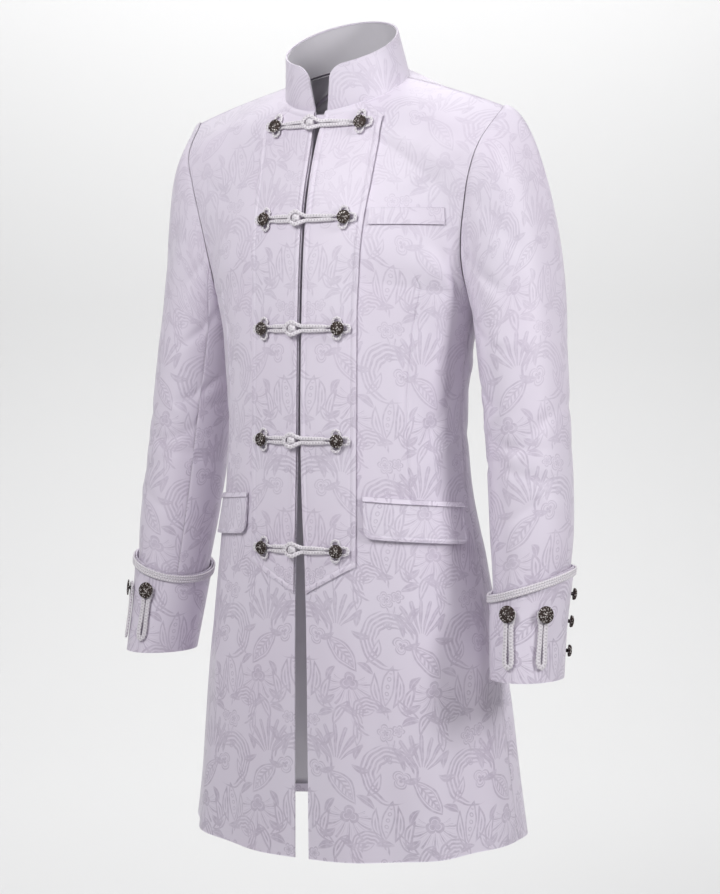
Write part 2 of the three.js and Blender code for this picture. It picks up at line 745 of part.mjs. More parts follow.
function flapGrid(top, tall, height, cornerRadius) {
  const across = 8;
  const down = 3;
  const long = FLAP.to - FLAP.from;
  const grid = [];
  for (let i = 0; i <= down; i += 1) {
    const row = [];
    for (let j = 0; j <= across; j += 1) {
      const t = j / across;
      const spread = closerAtEnds(t, 0.07);
      const fromEnd = Math.min(spread, 1 - spread) * long;
      const cut = Math.max(cornerRadius - fromEnd, 0);
      const rounding = cornerRadius - Math.sqrt(cornerRadius ** 2 - cut ** 2);
      const z = top - FLAP.fall * spread - (tall - rounding) * (i / down);
      row.push(alongFront(FLAP.from + long * spread, z, height + FLAP_STAND * (i / down)));
    }
    grid.push(row);
  }
  return grid;
}

function buildPockets() {
  const height = LAYER_GAP + FLAP.thick + SEAM_GAP;
  const flapTop = FLAP.topZ - FLAP.welt - WELT_GAP;
  const flap = flapGrid(flapTop, FLAP.tall - FLAP.welt, height, FLAP.corner);
  addPair('pocket_flap', MATERIALS.jacquard, flap, gridNormals(flap, false, FRONT_OUTSIDE), FLAP.thick);
  const welt = flapGrid(FLAP.topZ, FLAP.welt, height, 0);
  addPair('pocket_welt', MATERIALS.jacquard, welt, gridNormals(welt, false, FRONT_OUTSIDE), FLAP.thick);
  const chest = [];
  for (let i = 0; i <= 2; i += 1) {
    const row = [];
    for (let j = 0; j <= 6; j += 1) {
      const x = CHEST_WELT.from + (CHEST_WELT.to - CHEST_WELT.from) * (j / 6);
      row.push(overFront(x, CHEST_WELT.z - CHEST_WELT.tall * (i / 2), LAYER_GAP + CHEST_WELT.thick).point);
    }
    chest.push(row);
  }
  const normals = gridNormals(chest, false, FRONT_OUTSIDE);
  add('chest_welt', MATERIALS.jacquard, wallGeometry(chest, normals, CHEST_WELT.thick));
}

// Closed cord round a list of places
function cordGeometry(points, radius, steps) {
  const curve = new THREE.CatmullRomCurve3(points, true, 'centripetal');
  const tube = new THREE.TubeGeometry(curve, steps, radius, 5, true);
  return clean(tube);
}

function clean(geometry) {
  const bare = geometry.clone();
  bare.deleteAttribute('normal');
  bare.deleteAttribute('uv');
  return BufferGeometryUtils.mergeVertices(bare, 1e-3);
}

function toManifold(geometry) {
  return new wasm.Manifold(new wasm.Mesh({
    numProp: 3,
    vertProperties: new Float32Array(geometry.attributes.position.array),
    triVerts: new Uint32Array(geometry.index.array),
  }));
}

function fromManifold(solid) {
  const mesh = solid.getMesh();
  const geometry = new THREE.BufferGeometry();
  geometry.setAttribute('position', new THREE.Float32BufferAttribute(mesh.vertProperties, 3));
  geometry.setIndex(Array.from(mesh.triVerts));
  geometry.computeVertexNormals();
  return geometry;
}

// Outline of the clover of cord under a button, in steps away from and across the frog
const CLOVER = [[-8.5, 2.75], [-5.4, 4.6], [-6.2, 9], [-3.2, 12.6], [0.8, 12.4], [2.8, 9],
  [4.2, 4.8], [9, 4.6], [12.6, 3]];

function cloverPath() {
  const lower = CLOVER.slice().reverse().map(([s, t]) => [s, -t]);
  return CLOVER.concat([[13.4, 0]], lower);
}

// One half of a frog: side is +1 for the loop half and -1 for the knot half
function frogHalf(side, buttonX, z) {
  const radius = FROG.cord / 2;
  const low = ON_BIB + radius + bibLift(z);
  const points = cloverPath().map(([s, t]) => overFront(side * (buttonX + s), z + t, low).point);
  const half = FROG.pitch / 2;
  if (side > 0) {
    const wide = FROG.loop / half;
    const around = [[16, -1, 0], [5, -1, 0], [-0.5, -1.8, 0.5], [-6.5, -wide, 0.85], [-12.8, -1.5, 1],
      [-14.6, 0, 1], [-12.8, 1.5, 1], [-6.5, wide, 0.85], [-0.5, 1.8, 0.5], [5, 1, 0], [16, 1, 0]];
    for (const [x, t, up] of around) {
      points.push(overFront(x, z + t * half, low + FROG.lift * up).point);
    }
    return cordGeometry(points, radius, 36);
  }
  for (const [x, t] of [[-32, -1], [-20, -1], [FROG.knotX - 3, -0.9], [FROG.knotX, 0],
    [FROG.knotX - 3, 0.9], [-20, 1], [-32, 1]]) {
    points.push(overFront(x, z + t * half, low).point);
  }
  const cord = cordGeometry(points, radius, 32);
  const knot = clean(new THREE.SphereGeometry(FROG.knot, 7, 5));
  const at = overFront(FROG.knotX, z, low - radius + FROG.knot + 0.3);
  knot.translate(at.point.x, at.point.y, at.point.z);
  return fromManifold(toManifold(cord).add(toManifold(knot)));
}

// Domed metal button on a short shank
function buttonGeometry({ radius, tall }, seat) {
  const shank = 2.2;
  const shoulder = seat + (tall - seat) * 0.7;
  const profile = [[0, 0], [shank, 0], [shank, seat], [radius, seat + 0.4], [radius * 0.8, shoulder],
    [0, tall]];
  const lathe = new THREE.LatheGeometry(profile.map(([x, y]) => new THREE.Vector2(x, y)), 8);
  return clean(lathe);
}

function addButton(name, kind, seat, point, normal) {
  const geometry = buttonGeometry(BUTTONS[kind], seat);
  const turn = new THREE.Quaternion().setFromUnitVectors(vec(0, 1, 0), normal);
  const mesh = new THREE.Mesh(geometry, MATERIALS.pewter);
  mesh.name = name;
  mesh.quaternion.copy(turn);
  mesh.position.copy(point);
  coat.add(mesh);
}

const SEAT_ON_FROG = FROG.cord + 0.6;

function buildFrogs() {
  FROG_HEIGHTS.forEach((z, k) => {
    add(`frog_loop_${k + 1}`, MATERIALS.braid, frogHalf(1, FROG_BUTTON_X[k], z));
    add(`frog_knot_${k + 1}`, MATERIALS.braid, frogHalf(-1, FROG_BUTTON_X[k], z));
    for (const [side, name] of [[1, 'left'], [-1, 'right']]) {
      const { point, normal } = overFront(side * FROG_BUTTON_X[k], z, ON_BIB + bibLift(z));
      addButton(`front_button_${name}_${k + 1}`, 'front', SEAT_ON_FROG, point, normal);
    }
  });
}

function cuffNormal(angle, z) {
  const e = 1;
  const along = overCuff(angle + e, z, 0).sub(overCuff(angle - e, z, 0));
  const up = overCuff(angle, z + e, 0).sub(overCuff(angle, z - e, 0));
  const normal = along.cross(up).normalize();
  const out = overCuff(angle, z, 1).sub(overCuff(angle, z, 0));
  return normal.dot(out) > 0 ? normal : normal.negate();
}

// The hanging loop of cord below a cuff button, its two strands side by side
function cuffLoopPath(angle) {
  const radius = CUFF_LOOP.cord / 2;
  const ring = sleeveRingAt(CUFF_BUTTON_Z);
  const turn = radians(angle);
  const sweep = Math.hypot(ring.outer * Math.sin(turn), ring.fore * Math.cos(turn));
  const perDegree = radians(1) * sweep;
  const half = CUFF_LOOP.pitch / 2;
  const foot = -CUFF_LOOP.long;
  const shape = [[-5.4, 2], [-half - 1.4, -6], [-half, -13], [-half, -30], [-half, foot + 4],
    [0, foot + 1], [half, foot + 4], [half, -30], [half, -13], [half + 1.4, -6], [5.4, 2], [0, 6]];
  return shape.map(([across, up]) => {
    return overCuff(angle - across / perDegree, CUFF_BUTTON_Z + up, radius + SEAM_GAP);
  });
}

function mirrorPoint(point) {
  return vec(-point.x, point.y, point.z);
}

function buildCuffTrims() {
  for (const [side, name] of [[1, 'left'], [-1, 'right']]) {
    const place = (point) => (side > 0 ? point : mirrorPoint(point));
    CUFF_BUTTON_ANGLES.forEach((angle, k) => {
      const path = cuffLoopPath(angle).map(place);
      add(`cuff_loop_${name}_${k + 1}`, MATERIALS.braid, cordGeometry(path, CUFF_LOOP.cord / 2, 22));
      const point = place(overCuff(angle, CUFF_BUTTON_Z, 0.4));
      const normal = place(cuffNormal(angle, CUFF_BUTTON_Z));
      addButton(`cuff_button_${name}_${k + 1}`, 'cuff', CUFF_LOOP.cord + 0.8, point, normal);
    });
    VENT_BUTTONS.heights.forEach((z, k) => {
      const point = place(overCuff(VENT_BUTTONS.angle, z, 0.4));
      const normal = place(cuffNormal(VENT_BUTTONS.angle, z));
      addButton(`vent_button_${name}_${k + 1}`, 'vent', 2.4, point, normal);
    });
  }
}

// Small tab that shows behind the slit just under the collar
const NECK_TAB = { half: 11, top: -60, tall: 16 };

function buildNeckTab() {
  const grid = [];
  for (let i = 0; i <= 2; i += 1) {
    const row = [];
    for (let j = 0; j <= 4; j += 1) {
      const x = -NECK_TAB.half + 2 * NECK_TAB.half * (j / 4);
      const z = NECK_TAB.top - NECK_TAB.tall * (i / 2);
      row.push(overFront(x, z, -CLOTH - LAYER_GAP).point);
    }
    grid.push(row);
  }
  add('neck_tab', MATERIALS.jacquard, wallGeometry(grid, gridNormals(grid, false, FRONT_OUTSIDE), LINING));
}

buildBody();
buildCollar();
buildSleeves();
buildCuffs();
buildBibs();
buildPockets();
buildFrogs();
buildCuffTrims();
buildNeckTab();

export default coat;
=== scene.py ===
"""Frock coat in a pale floral jacquard: fine cloth, trims and light round the fixed frame."""
import math

import bpy
import numpy as np
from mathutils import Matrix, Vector


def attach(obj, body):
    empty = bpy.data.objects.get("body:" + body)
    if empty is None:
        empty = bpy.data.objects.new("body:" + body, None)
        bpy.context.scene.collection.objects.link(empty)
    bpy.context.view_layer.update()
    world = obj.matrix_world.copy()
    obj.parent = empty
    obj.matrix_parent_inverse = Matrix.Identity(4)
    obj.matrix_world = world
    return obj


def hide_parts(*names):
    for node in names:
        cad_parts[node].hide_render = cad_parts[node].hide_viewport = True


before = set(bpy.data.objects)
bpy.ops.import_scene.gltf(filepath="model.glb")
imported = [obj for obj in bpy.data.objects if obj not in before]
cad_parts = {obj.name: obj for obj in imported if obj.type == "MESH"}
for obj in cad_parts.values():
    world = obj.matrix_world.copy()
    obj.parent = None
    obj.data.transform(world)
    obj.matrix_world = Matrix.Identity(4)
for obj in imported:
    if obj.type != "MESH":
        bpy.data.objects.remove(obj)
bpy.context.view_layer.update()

MM = 0.001

# Walls and gaps, in millimetres as the tables below
CLOTH = 1.8
LINING = 1.0
LAYER_GAP = 0.8
LINING_GAP = 1.6
SEAM_GAP = 0.3

NECK = dict(width=80, depth=68, y=6, z=-21.5, drop=35.5, crown=4)
COLLAR_TOP = dict(width=72, depth=64, y=-8, z=32, drop=36, crown=0)
COLLAR_BASE_ANGLE = 6
COLLAR_TOP_ANGLE = 13
COLLAR_CORNER = 16
COLLAR_THICK = 2.2

# Body panels above the armpit: neck angle or inner edge, armhole edge, then turn, rise and
# reach of the cloth as it leaves the inner edge and as it nears the armhole
FRONT_ROWS = [
    (100, 0, 0, 214, 5, -55, -7, -14, 47, -4, -22, 47),
    (62, 0, 0, 203, -42, -100, -16, -18, 50, 12, -30, 46),
    (26, 0, 0, 192, -51, -140, -8, -22, 62, 24, -38, 52),
    (5.7, 0, 0, 184, -48, -180, -4, -20, 72, 36, -40, 56),
    (0, -84, -112, 178, -43, -215, 0, -16, 80, 50, -36, 58),
    (0, -100, -165, 175, -35, -245, 0, -12, 88, 62, -30, 62),
    (0, -108, -215, 175, -20, -272, 0, -8, 96, 76, -18, 68),
    (0, -112, -262, 177, 12, -288, 0, -3, 102, 89, -5, 72),
]
BACK_ROWS = [
    (100, 0, 0, 214, 5, -55, -7, -14, 47, -4, -22, 47),
    (140, 0, 0, 205, 48, -100, 6, -20, 50, -20, -40, 48),
    (180, 0, 0, 196, 62, -140, 4, -14, 66, -30, -46, 56),
    (0, 95, -36, 190, 66, -180, 2, -8, 78, -42, -44, 58),
    (0, 111, -92, 185, 60, -215, 0, -5, 88, -54, -36, 62),
    (0, 120, -150, 180, 45, -250, 0, -3, 96, -66, -28, 68),
    (0, 125, -208, 177, 28, -278, 0, -2, 102, -80, -16, 72),
    (0, 127, -262, 177, 12, -288, 0, -1, 104, -89, -5, 72),
]

# Body below the armpit: height, half width, side seam, centre front and centre back
RING_ROWS = [
    (-330, 165, 11, -115, 128),
    (-395, 157, 10, -116.5, 125),
    (-456, 156.5, 10, -117, 119),
    (-525, 161.5, 13, -116.5, 125),
    (-600, 174, 20, -115, 144),
    (-690, 188, 29, -114, 167),
    (-780, 199, 36, -113, 184),
    (-870, 209, 38, -112, 192),
    (-960, 219, 38, -111, 198),
]
ROUND_FRONT = 0.58
ROUND_BACK = 0.57
HEM_LIFT = dict(front=-1, side=14, back=12)
FLUTE = dict(start=8.5, depth=4.5, waves=2.5)

# Height and half width of the slit between the fronts
SLIT_ROWS = [(-50, 8), (-75, 3.2), (-110, 1.6), (-430, 1.5), (-500, 2.4), (-560, 4.2), (-610, 6.4),
             (-700, 8), (-965, 9.6)]

# Sleeve rings: height, centre, and their reach outwards, inwards, forwards and back
SLEEVE_ROWS = [
    (-340, 221, 31, 59, 45.5, 73, 64),
    (-395, 229.5, 26, 55.5, 47, 67, 62),
    (-450, 236.5, 21, 53, 47, 63, 61),
    (-515, 242.5, 15, 52.4, 47, 60, 60),
    (-570, 247, 7.5, 51, 46, 57.5, 57.5),
    (-620, 250, 0, 46, 42.5, 54, 54),
    (-680, 253, -11, 40.5, 40.5, 52, 52),
    (-740, 256.5, -24, 38.8, 38.8, 50, 50),
]
SLEEVE_ANGLES = [0, 34, 60, 86, 111, 134, 157, 180]
SLEEVE_SEAM_ROW = 5
SLEEVE_END = -733
CAP_LEAN = (2, 13, 0)

CUFF = dict(bottom=-736, top=-623, slant=16, lowest=155, vent=-48, off=1.5, flare=0.8)
CUFF_BRAID = dict(tall=9, thick=3.2)
CUFF_BUTTON_ANGLES = [91, 43]
CUFF_BUTTON_Z = -658
CUFF_LOOP = dict(long=61, pitch=6.4, cord=5.4)
VENT_ANGLE = -34
VENT_HEIGHTS = [-641, -673, -707]

BIB_ROWS = [(-68, 83.5), (-188, 76.5), (-295, 71.5), (-432, 71), (-608, 71)]
BIB = dict(thick=1.6, inset=1.2, lift=1.6, lift_from=-46, lift_over=64, seam_x=54, top_x=83.5,
           top_z=-68, point_z=-642, corner_z=-607, inner_x=9.5)

FROG_HEIGHTS = [-76, -192, -324, -458, -589]
FROG_BUTTON_X = [58.5, 54, 50.5, 50, 49.5]
FROG = dict(cord=4.8, pitch=5.5, knot_x=-6.5, knot=4.5, loop=7.6, lift=5.6)
CLOVER = [(-8.5, 2.75), (-5.4, 4.6), (-6.2, 9), (-3.2, 12.6), (0.8, 12.4), (2.8, 9),
          (4.2, 4.8), (9, 4.6), (12.6, 3)]

FLAP = dict(start=77, end=212, top_z=-523, fall=11, tall=50, thick=1.8, welt=6, corner=10)
CHEST_WELT = dict(start=82, end=164, z=-180, tall=20, thick=1.6)

BUTTONS = dict(front=(8.3, 8.4), cuff=(10.2, 8.6), vent=(7.2, 7.0))

ARMPIT = len(FRONT_ROWS) - 1


# Smooth tables

def smooth(values, place):
    """Catmull-Rom value of a column at a place between its rows; values is (rows, ...)."""
    values = np.asarray(values, float)
    last = len(values) - 1
    at = np.clip(np.asarray(place, float), 0, last)
    i = np.minimum(np.floor(at).astype(int), last - 1)
    f = at - i
    above, below = i > 0, i < last - 1
    if values.ndim > 1:
        f, above, below = f[..., None], above[..., None], below[..., None]
    b, c = values[i], values[i + 1]
    a = np.where(above, values[np.maximum(i - 1, 0)], 2 * b - c)
    d = np.where(below, values[np.minimum(i + 2, last)], 2 * c - b)
    f2, f3 = f * f, f * f * f
    return ((2 * f3 - 3 * f2 + 1) * b + (f3 - 2 * f2 + f) * (c - a) / 2
            + (3 * f2 - 2 * f3) * c + (f3 - f2) * (d - b) / 2)


def between(rows, key):
    """Straight-line value from (key, value) rows whose keys fall."""
    keys, values = np.array(rows[::-1], float).T
    return np.interp(key, keys, values)


def neck_point(oval, angle):
    s, c = np.sin(np.radians(angle)), np.cos(np.radians(angle))
    return np.stack([oval["width"] * s, oval["y"] - oval["depth"] * c,
                     oval["z"] - oval["drop"] * c + oval["crown"] * s * s], -1)


def heading(turn, rise):
    t, r = math.radians(turn), math.radians(rise)
    return np.array([math.cos(t) * math.cos(r), math.sin(t) * math.cos(r), math.sin(r)])


class Panel:
    """A front or a back of the coat, as a smooth surface over (across, down)."""

    def __init__(self, table, is_front):
        inner, leave, near, outer, angles = [], [], [], [], []
        for angle, ly, lz, ax, ay, az, turn_l, rise_l, reach_l, turn_a, rise_a, reach_a in table:
            if angle > 0:
                inner.append(neck_point(NECK, angle))
                angles.append(angle)
            else:
                inner.append(np.array([between(SLIT_ROWS, lz) if is_front else 0.0, ly, lz]))
            leave.append(heading(turn_l, rise_l) * reach_l)
            near.append(-heading(turn_a, rise_a) * reach_a)
            outer.append(np.array([ax, ay, az], float))
        for z, half, side, front, back in RING_ROWS:
            middle = front if is_front else back
            rounding = ROUND_FRONT if is_front else ROUND_BACK
            lift, side_lift = 0, 0
            if z == RING_ROWS[-1][0]:
                lift, side_lift = HEM_LIFT["front" if is_front else "back"], HEM_LIFT["side"]
            inner.append(np.array([between(SLIT_ROWS, z) if is_front else 0.0, middle, z + lift]))
            leave.append(np.array([rounding * half, 0, 0]))
            near.append(np.array([0, rounding * (middle - side), 0]))
            outer.append(np.array([half, side, z + side_lift], float))
        self.inner, self.leave = np.array(inner), np.array(leave)
        self.near, self.outer = np.array(near), np.array(outer)
        self.angles = angles
        self.outside = -1.0 if is_front else 1.0
        self.rows = len(inner)

    def plain(self, across, down):
        across, down = np.broadcast_arrays(np.asarray(across, float), np.asarray(down, float))
        neck_rows = len(self.angles)
        neck = neck_point(NECK, smooth(self.angles, np.minimum(down, neck_rows - 1)))
        middle = smooth(self.inner[neck_rows - 1:], down - (neck_rows - 1))
        inner = np.where((down <= neck_rows - 1)[..., None], neck, middle)
        arm = smooth(self.outer[:ARMPIT + 1], down)
        side = smooth(self.outer[ARMPIT:], down - ARMPIT)
        outer = np.where((down < ARMPIT)[..., None], arm, side)
        leave = smooth(self.leave, down) + inner
        near = smooth(self.near, down) + outer
        t = across[..., None]
        s = 1 - t
        point = s ** 3 * inner + 3 * s * s * t * leave + 3 * s * t * t * near + t ** 3 * outer
        opened = np.maximum(0, (down - FLUTE["start"]) / (self.rows - 1 - FLUTE["start"]))
        wave = np.sin(across * FLUTE["waves"] * 2 * np.pi) * np.sin(across * np.pi)
        out = point - outer
        out[..., 0] = point[..., 0]
        out[..., 2] = 0
        out /= np.maximum(np.linalg.norm(out, axis=-1, keepdims=True), 1e-6)
        return point + out * (FLUTE["depth"] * opened ** 2 * wave)[..., None]

    def normal(self, across, down):
        e = 0.01
        a = self.plain(np.minimum(across + e, 1), down) - self.plain(np.maximum(across - e, 0), down)
        b = self.plain(across, down + e) - self.plain(across, np.maximum(down - e, 0))
        n = np.cross(a, b)
        return n / np.linalg.norm(n, axis=-1, keepdims=True) * self.outside

    def at_xz(self, x, z):
        """Place on the panel with the given x and z, for arrays of both."""
        x, z = np.broadcast_arrays(np.asarray(x, float), np.asarray(z, float))
        ga, gd = np.meshgrid(np.linspace(0, 1, 25), np.linspace(0, self.rows - 1, 97))
        gp = self.plain(ga, gd).reshape(-1, 3)
        miss = (gp[:, 0] - x.reshape(-1, 1)) ** 2 + (gp[:, 2] - z.reshape(-1, 1)) ** 2
        nearest = miss.argmin(1)
        across, down = ga.ravel()[nearest], gd.ravel()[nearest]
        tx, tz = x.ravel(), z.ravel()
        e = 0.004
        for _ in range(10):
            p = self.plain(across, down)
            pa = (self.plain(across + e, down) - p) / e
            pd = (self.plain(across, down + e) - p) / e
            det = pa[:, 0] * pd[:, 2] - pa[:, 2] * pd[:, 0]
            det = np.where(abs(det) < 1e-6, 1e-6, det)
            dx, dz = tx - p[:, 0], tz - p[:, 2]
            across = np.clip(across + (dx * pd[:, 2] - dz * pd[:, 0]) / det, 0, 1)
            down = np.clip(down + (dz * pa[:, 0] - dx * pa[:, 2]) / det, 0, self.rows - 1.02)
        return across.reshape(x.shape), down.reshape(x.shape)


FRONT = Panel(FRONT_ROWS, True)
BACK = Panel(BACK_ROWS, False)
HEM_ROW = FRONT.rows - 1


# Creases in the cloth: place (across, down), direction in degrees from level, then length,
# width and depth in millimetres, a trough if below nought

FRONT_CREASES = [
    (0.93, 5.6, 100, 95, 13, -2.4),
    (0.86, 6.3, 116, 110, 16, -2.0),
    (0.80, 6.6, 108, 90, 15, 1.8),
    (0.60, 7.6, 62, 130, 20, -1.5),
    (0.74, 8.6, 70, 120, 17, 1.6),
    (0.84, 9.3, 55, 110, 15, -2.1),
    (0.72, 9.9, 118, 105, 14, -1.6),
    (0.88, 10.1, 22, 70, 10, 1.6),
    (0.52, 9.5, 100, 120, 18, 1.1),
    (0.35, 4.2, 75, 130, 24, -1.2),
    (0.55, 2.4, 58, 120, 22, -1.1),
    (0.78, 2.8, 40, 90, 14, -1.4),
    (0.62, 13.0, 92, 330, 26, -2.6),
    (0.82, 13.6, 88, 300, 24, 2.4),
    (0.34, 13.9, 90, 260, 24, 1.8),
    (0.18, 14.2, 91, 220, 20, -1.5),
]
BACK_CREASES = [
    (0.90, 5.4, 80, 110, 16, -2.2),
    (0.72, 4.0, 70, 150, 22, -1.6),
    (0.55, 7.2, 12, 150, 18, -1.6),
    (0.80, 8.6, 160, 130, 16, 1.8),
    (0.45, 9.0, 8, 140, 15, -1.9),
    (0.20, 9.7, 172, 120, 14, 1.4),
    (0.75, 10.0, 20, 130, 16, -1.7),
    (0.30, 13.2, 90, 340, 26, -2.8),
    (0.52, 13.8, 92, 300, 26, 2.6),
    (0.76, 13.4, 88, 320, 24, -2.2),
    (0.12, 2.9, 30, 110, 20, -1.2),
]
# Sleeve creases: angle round the arm, height, direction, length, width, depth
SLEEVE_CREASES = [
    (60, -200, 72, 120, 16, -2.0),
    (28, -150, 85, 130, 20, 1.4),
    (96, -262, 52, 90, 12, -2.4),
    (120, -330, 40, 80, 11, -2.4),
    (132, -405, 30, 70, 10, -2.6),
    (112, -432, 158, 90, 11, 2.0),
    (96, -462, 22, 85, 10, -2.6),
    (140, -486, 165, 60, 9, -2.2),
    (70, -498, 28, 80, 11, -1.8),
    (48, -440, 150, 90, 13, -1.7),
    (84, -545, 160, 70, 10, -1.6),
    (30, -530, 35, 90, 13, 1.4),
    (10, -300, 88, 160, 20, -1.5),
    (-30, -420, 12, 80, 14, -1.8),
    (-70, -455, 165, 90, 13, -2.2),
    (-110, -480, 20, 80, 12, -2.2),
    (-60, -250, 70, 140, 18, -1.8),
    (-95, -560, 160, 70, 12, -1.5),
    (175, -420, 5, 60, 10, -2.4),
]


def crease_field(creases, u, v):
    """Sum of long soft bumps; u and v are millimetres along the cloth."""
    total = np.zeros(np.shape(u))
    for cu, cv, direction, length, width, depth in creases:
        d = math.radians(direction)
        du, dv = u - cu, v - cv
        along = du * math.cos(d) + dv * math.sin(d)
        over = -du * math.sin(d) + dv * math.cos(d)
        over = over + 0.0016 * along * along * (1 if depth > 0 else -1)
        total += depth * np.exp(-(along / (length * 0.5)) ** 2 - (over / (width * 0.62)) ** 2)
    return total


# Mesh helpers

def make_object(name, vertices, faces, uv=None, smooth_shade=True):
    mesh = bpy.data.meshes.new(name)
    mesh.from_pydata((np.asarray(vertices) * MM).tolist(), [], faces)
    mesh.validate()
    if uv is not None:
        layer = mesh.uv_layers.new(name="cloth")
        loops = np.zeros(len(mesh.loops), dtype=np.int32)
        mesh.loops.foreach_get("vertex_index", loops)
        layer.data.foreach_set("uv", (np.asarray(uv)[loops] * MM).astype(np.float32).ravel())
    mesh.polygons.foreach_set("use_smooth", [smooth_shade] * len(mesh.polygons))
    mesh.update()
    obj = bpy.data.objects.new(name, mesh)
    bpy.context.scene.collection.objects.link(obj)
    return obj


def grid_normals(grid, outside):
    """Normals of a (rows, cols, 3) grid from its neighbours."""
    after = np.concatenate([grid[:, 1:], grid[:, -1:]], 1)
    before = np.concatenate([grid[:, :1], grid[:, :-1]], 1)
    low = np.concatenate([grid[1:], grid[-1:]], 0)
    up = np.concatenate([grid[:1], grid[:-1]], 0)
    n = np.cross(after - before, low - up)
    n /= np.maximum(np.linalg.norm(n, axis=-1, keepdims=True), 1e-9)
    return n * outside


def wall(grid, normals, uv, thick):
    """A closed thin wall with softly rolled edges; returns vertices, faces and uv."""
    rows, cols = grid.shape[:2]
    middle = grid - normals * thick * 0.5
    count = rows * cols
    i, j = np.meshgrid(np.arange(rows - 1), np.arange(cols - 1), indexing="ij")
    a = (i * cols + j).ravel()
    b, c, d = a + cols, a + cols + 1, a + 1
    outer = np.stack([a, b, c, d], 1)
    inner = np.stack([a, d, c, b], 1) + count
    rim = np.concatenate([
        np.arange(rows) * cols,
        (rows - 1) * cols + np.arange(1, cols),
        np.arange(rows - 2, -1, -1) * cols + cols - 1,
        np.arange(cols - 2, 0, -1),
    ])
    # the rim's middle line stands a little proud, so the edge looks folded
    row, col = rim // cols, rim % cols
    nrow = np.clip(row, 1, rows - 2)
    ncol = np.clip(col, 1, cols - 2)
    inward = grid[nrow, ncol] - grid[row, col]
    inward /= np.maximum(np.linalg.norm(inward, axis=1, keepdims=True), 1e-9)
    ridge = middle.reshape(-1, 3)[rim] - inward * min(thick * 0.35, 0.12)
    start = 2 * count
    points = np.concatenate([grid.reshape(-1, 3), (grid - normals * thick).reshape(-1, 3), ridge])
    uv = uv.reshape(-1, 2)
    uvs = np.concatenate([uv, uv, uv[rim]])
    k = np.arange(len(rim))
    nxt = np.roll(k, -1)
    side_out = np.stack([rim[k], start + k, start + nxt, rim[nxt]], 1)
    side_in = np.stack([start + k, rim[k] + count, rim[nxt] + count, start + nxt], 1)
    faces = np.concatenate([outer, inner, side_out[:, ::-1], side_in[:, ::-1]])
    a, b, c, d = (points[faces[:, k]] for k in range(4))
    volume = np.einsum("ij,ij->", a, np.cross(b, c)) + np.einsum("ij,ij->", a, np.cross(c, d))
    if volume < 0:
        faces = faces[:, ::-1]
    return points, faces.tolist(), uvs


def mirror(points):
    return np.asarray(points) * np.array([-1.0, 1.0, 1.0])


def run_along(points, axis=0):
    """Distance along a row or column of points, from its first place."""
    steps = np.linalg.norm(np.diff(points, axis=axis), axis=-1)
    return np.concatenate([0 * steps.take([0], axis), np.cumsum(steps, axis)], axis)


def cloth_uv(grid, level_rows=True):
    """Places on the cloth in millimetres: level distance across, and distance down from the top."""
    across, down = (grid[..., :2], grid[..., 1:]) if level_rows else (grid, grid)
    return np.stack([grid[:, :1, 0] + run_along(across, 1), grid[:1, :, 2] - run_along(down)], -1)


# A narrow strip is cut at least this wide, in metres, and its edges are turned in
NARROWEST_CUT = 0.0105


def flat_size(grid):
    """Width, length and area of the cut cloth, in metres, from its longest rows and columns."""
    wide, long = run_along(grid, 1).max() * MM, run_along(grid).max() * MM
    a, b, c, d = grid[:-1, :-1], grid[1:, :-1], grid[1:, 1:], grid[:-1, 1:]
    area = 0.5 * (np.linalg.norm(np.cross(b - a, c - a), axis=2).sum()
                  + np.linalg.norm(np.cross(c - a, d - a), axis=2).sum()) * MM * MM
    long = max(long, NARROWEST_CUT)
    return (float(wide), float(long)), float(min(area, wide * long))


def edge_steps(length, spacing, border=0.0):
    """Fractions along a length, close together near both ends and at a stitched border."""
    near = [0, 0.5, 1.3, 2.6, 4.4]
    if border:
        near += [border - 1.6, border - 0.7, border, border + 0.7, border + 1.6, border + 3.6]
    near = np.unique(np.round([n for n in near if n < length * 0.45], 1))
    count = max(int((length - 2 * near[-1]) / spacing), 2)
    middle = np.linspace(near[-1], length - near[-1], count + 1)[1:-1]
    return np.concatenate([near, middle, length - near[::-1]]) / length


def draw_in(grid, edge, gap, rows=slice(None)):
    """Draw one edge of a grid in by a gap along the cloth, at some rows or all."""
    at, nxt = {"top": (0, 1), "first": ((rows, 0), (rows, 1)), "last": ((rows, -1), (rows, -2))}[edge]
    step = grid[nxt] - grid[at]
    grid[at] += step * (gap / np.linalg.norm(step, axis=-1, keepdims=True))


def soft_step(x):
    x = np.clip(x, 0, 1)
    return x * x * (3 - 2 * x)


# The worn surfaces with their creases

DART = dict(across=0.56, start=6.4, end=11.4, deep=1.1, wide=1.0)


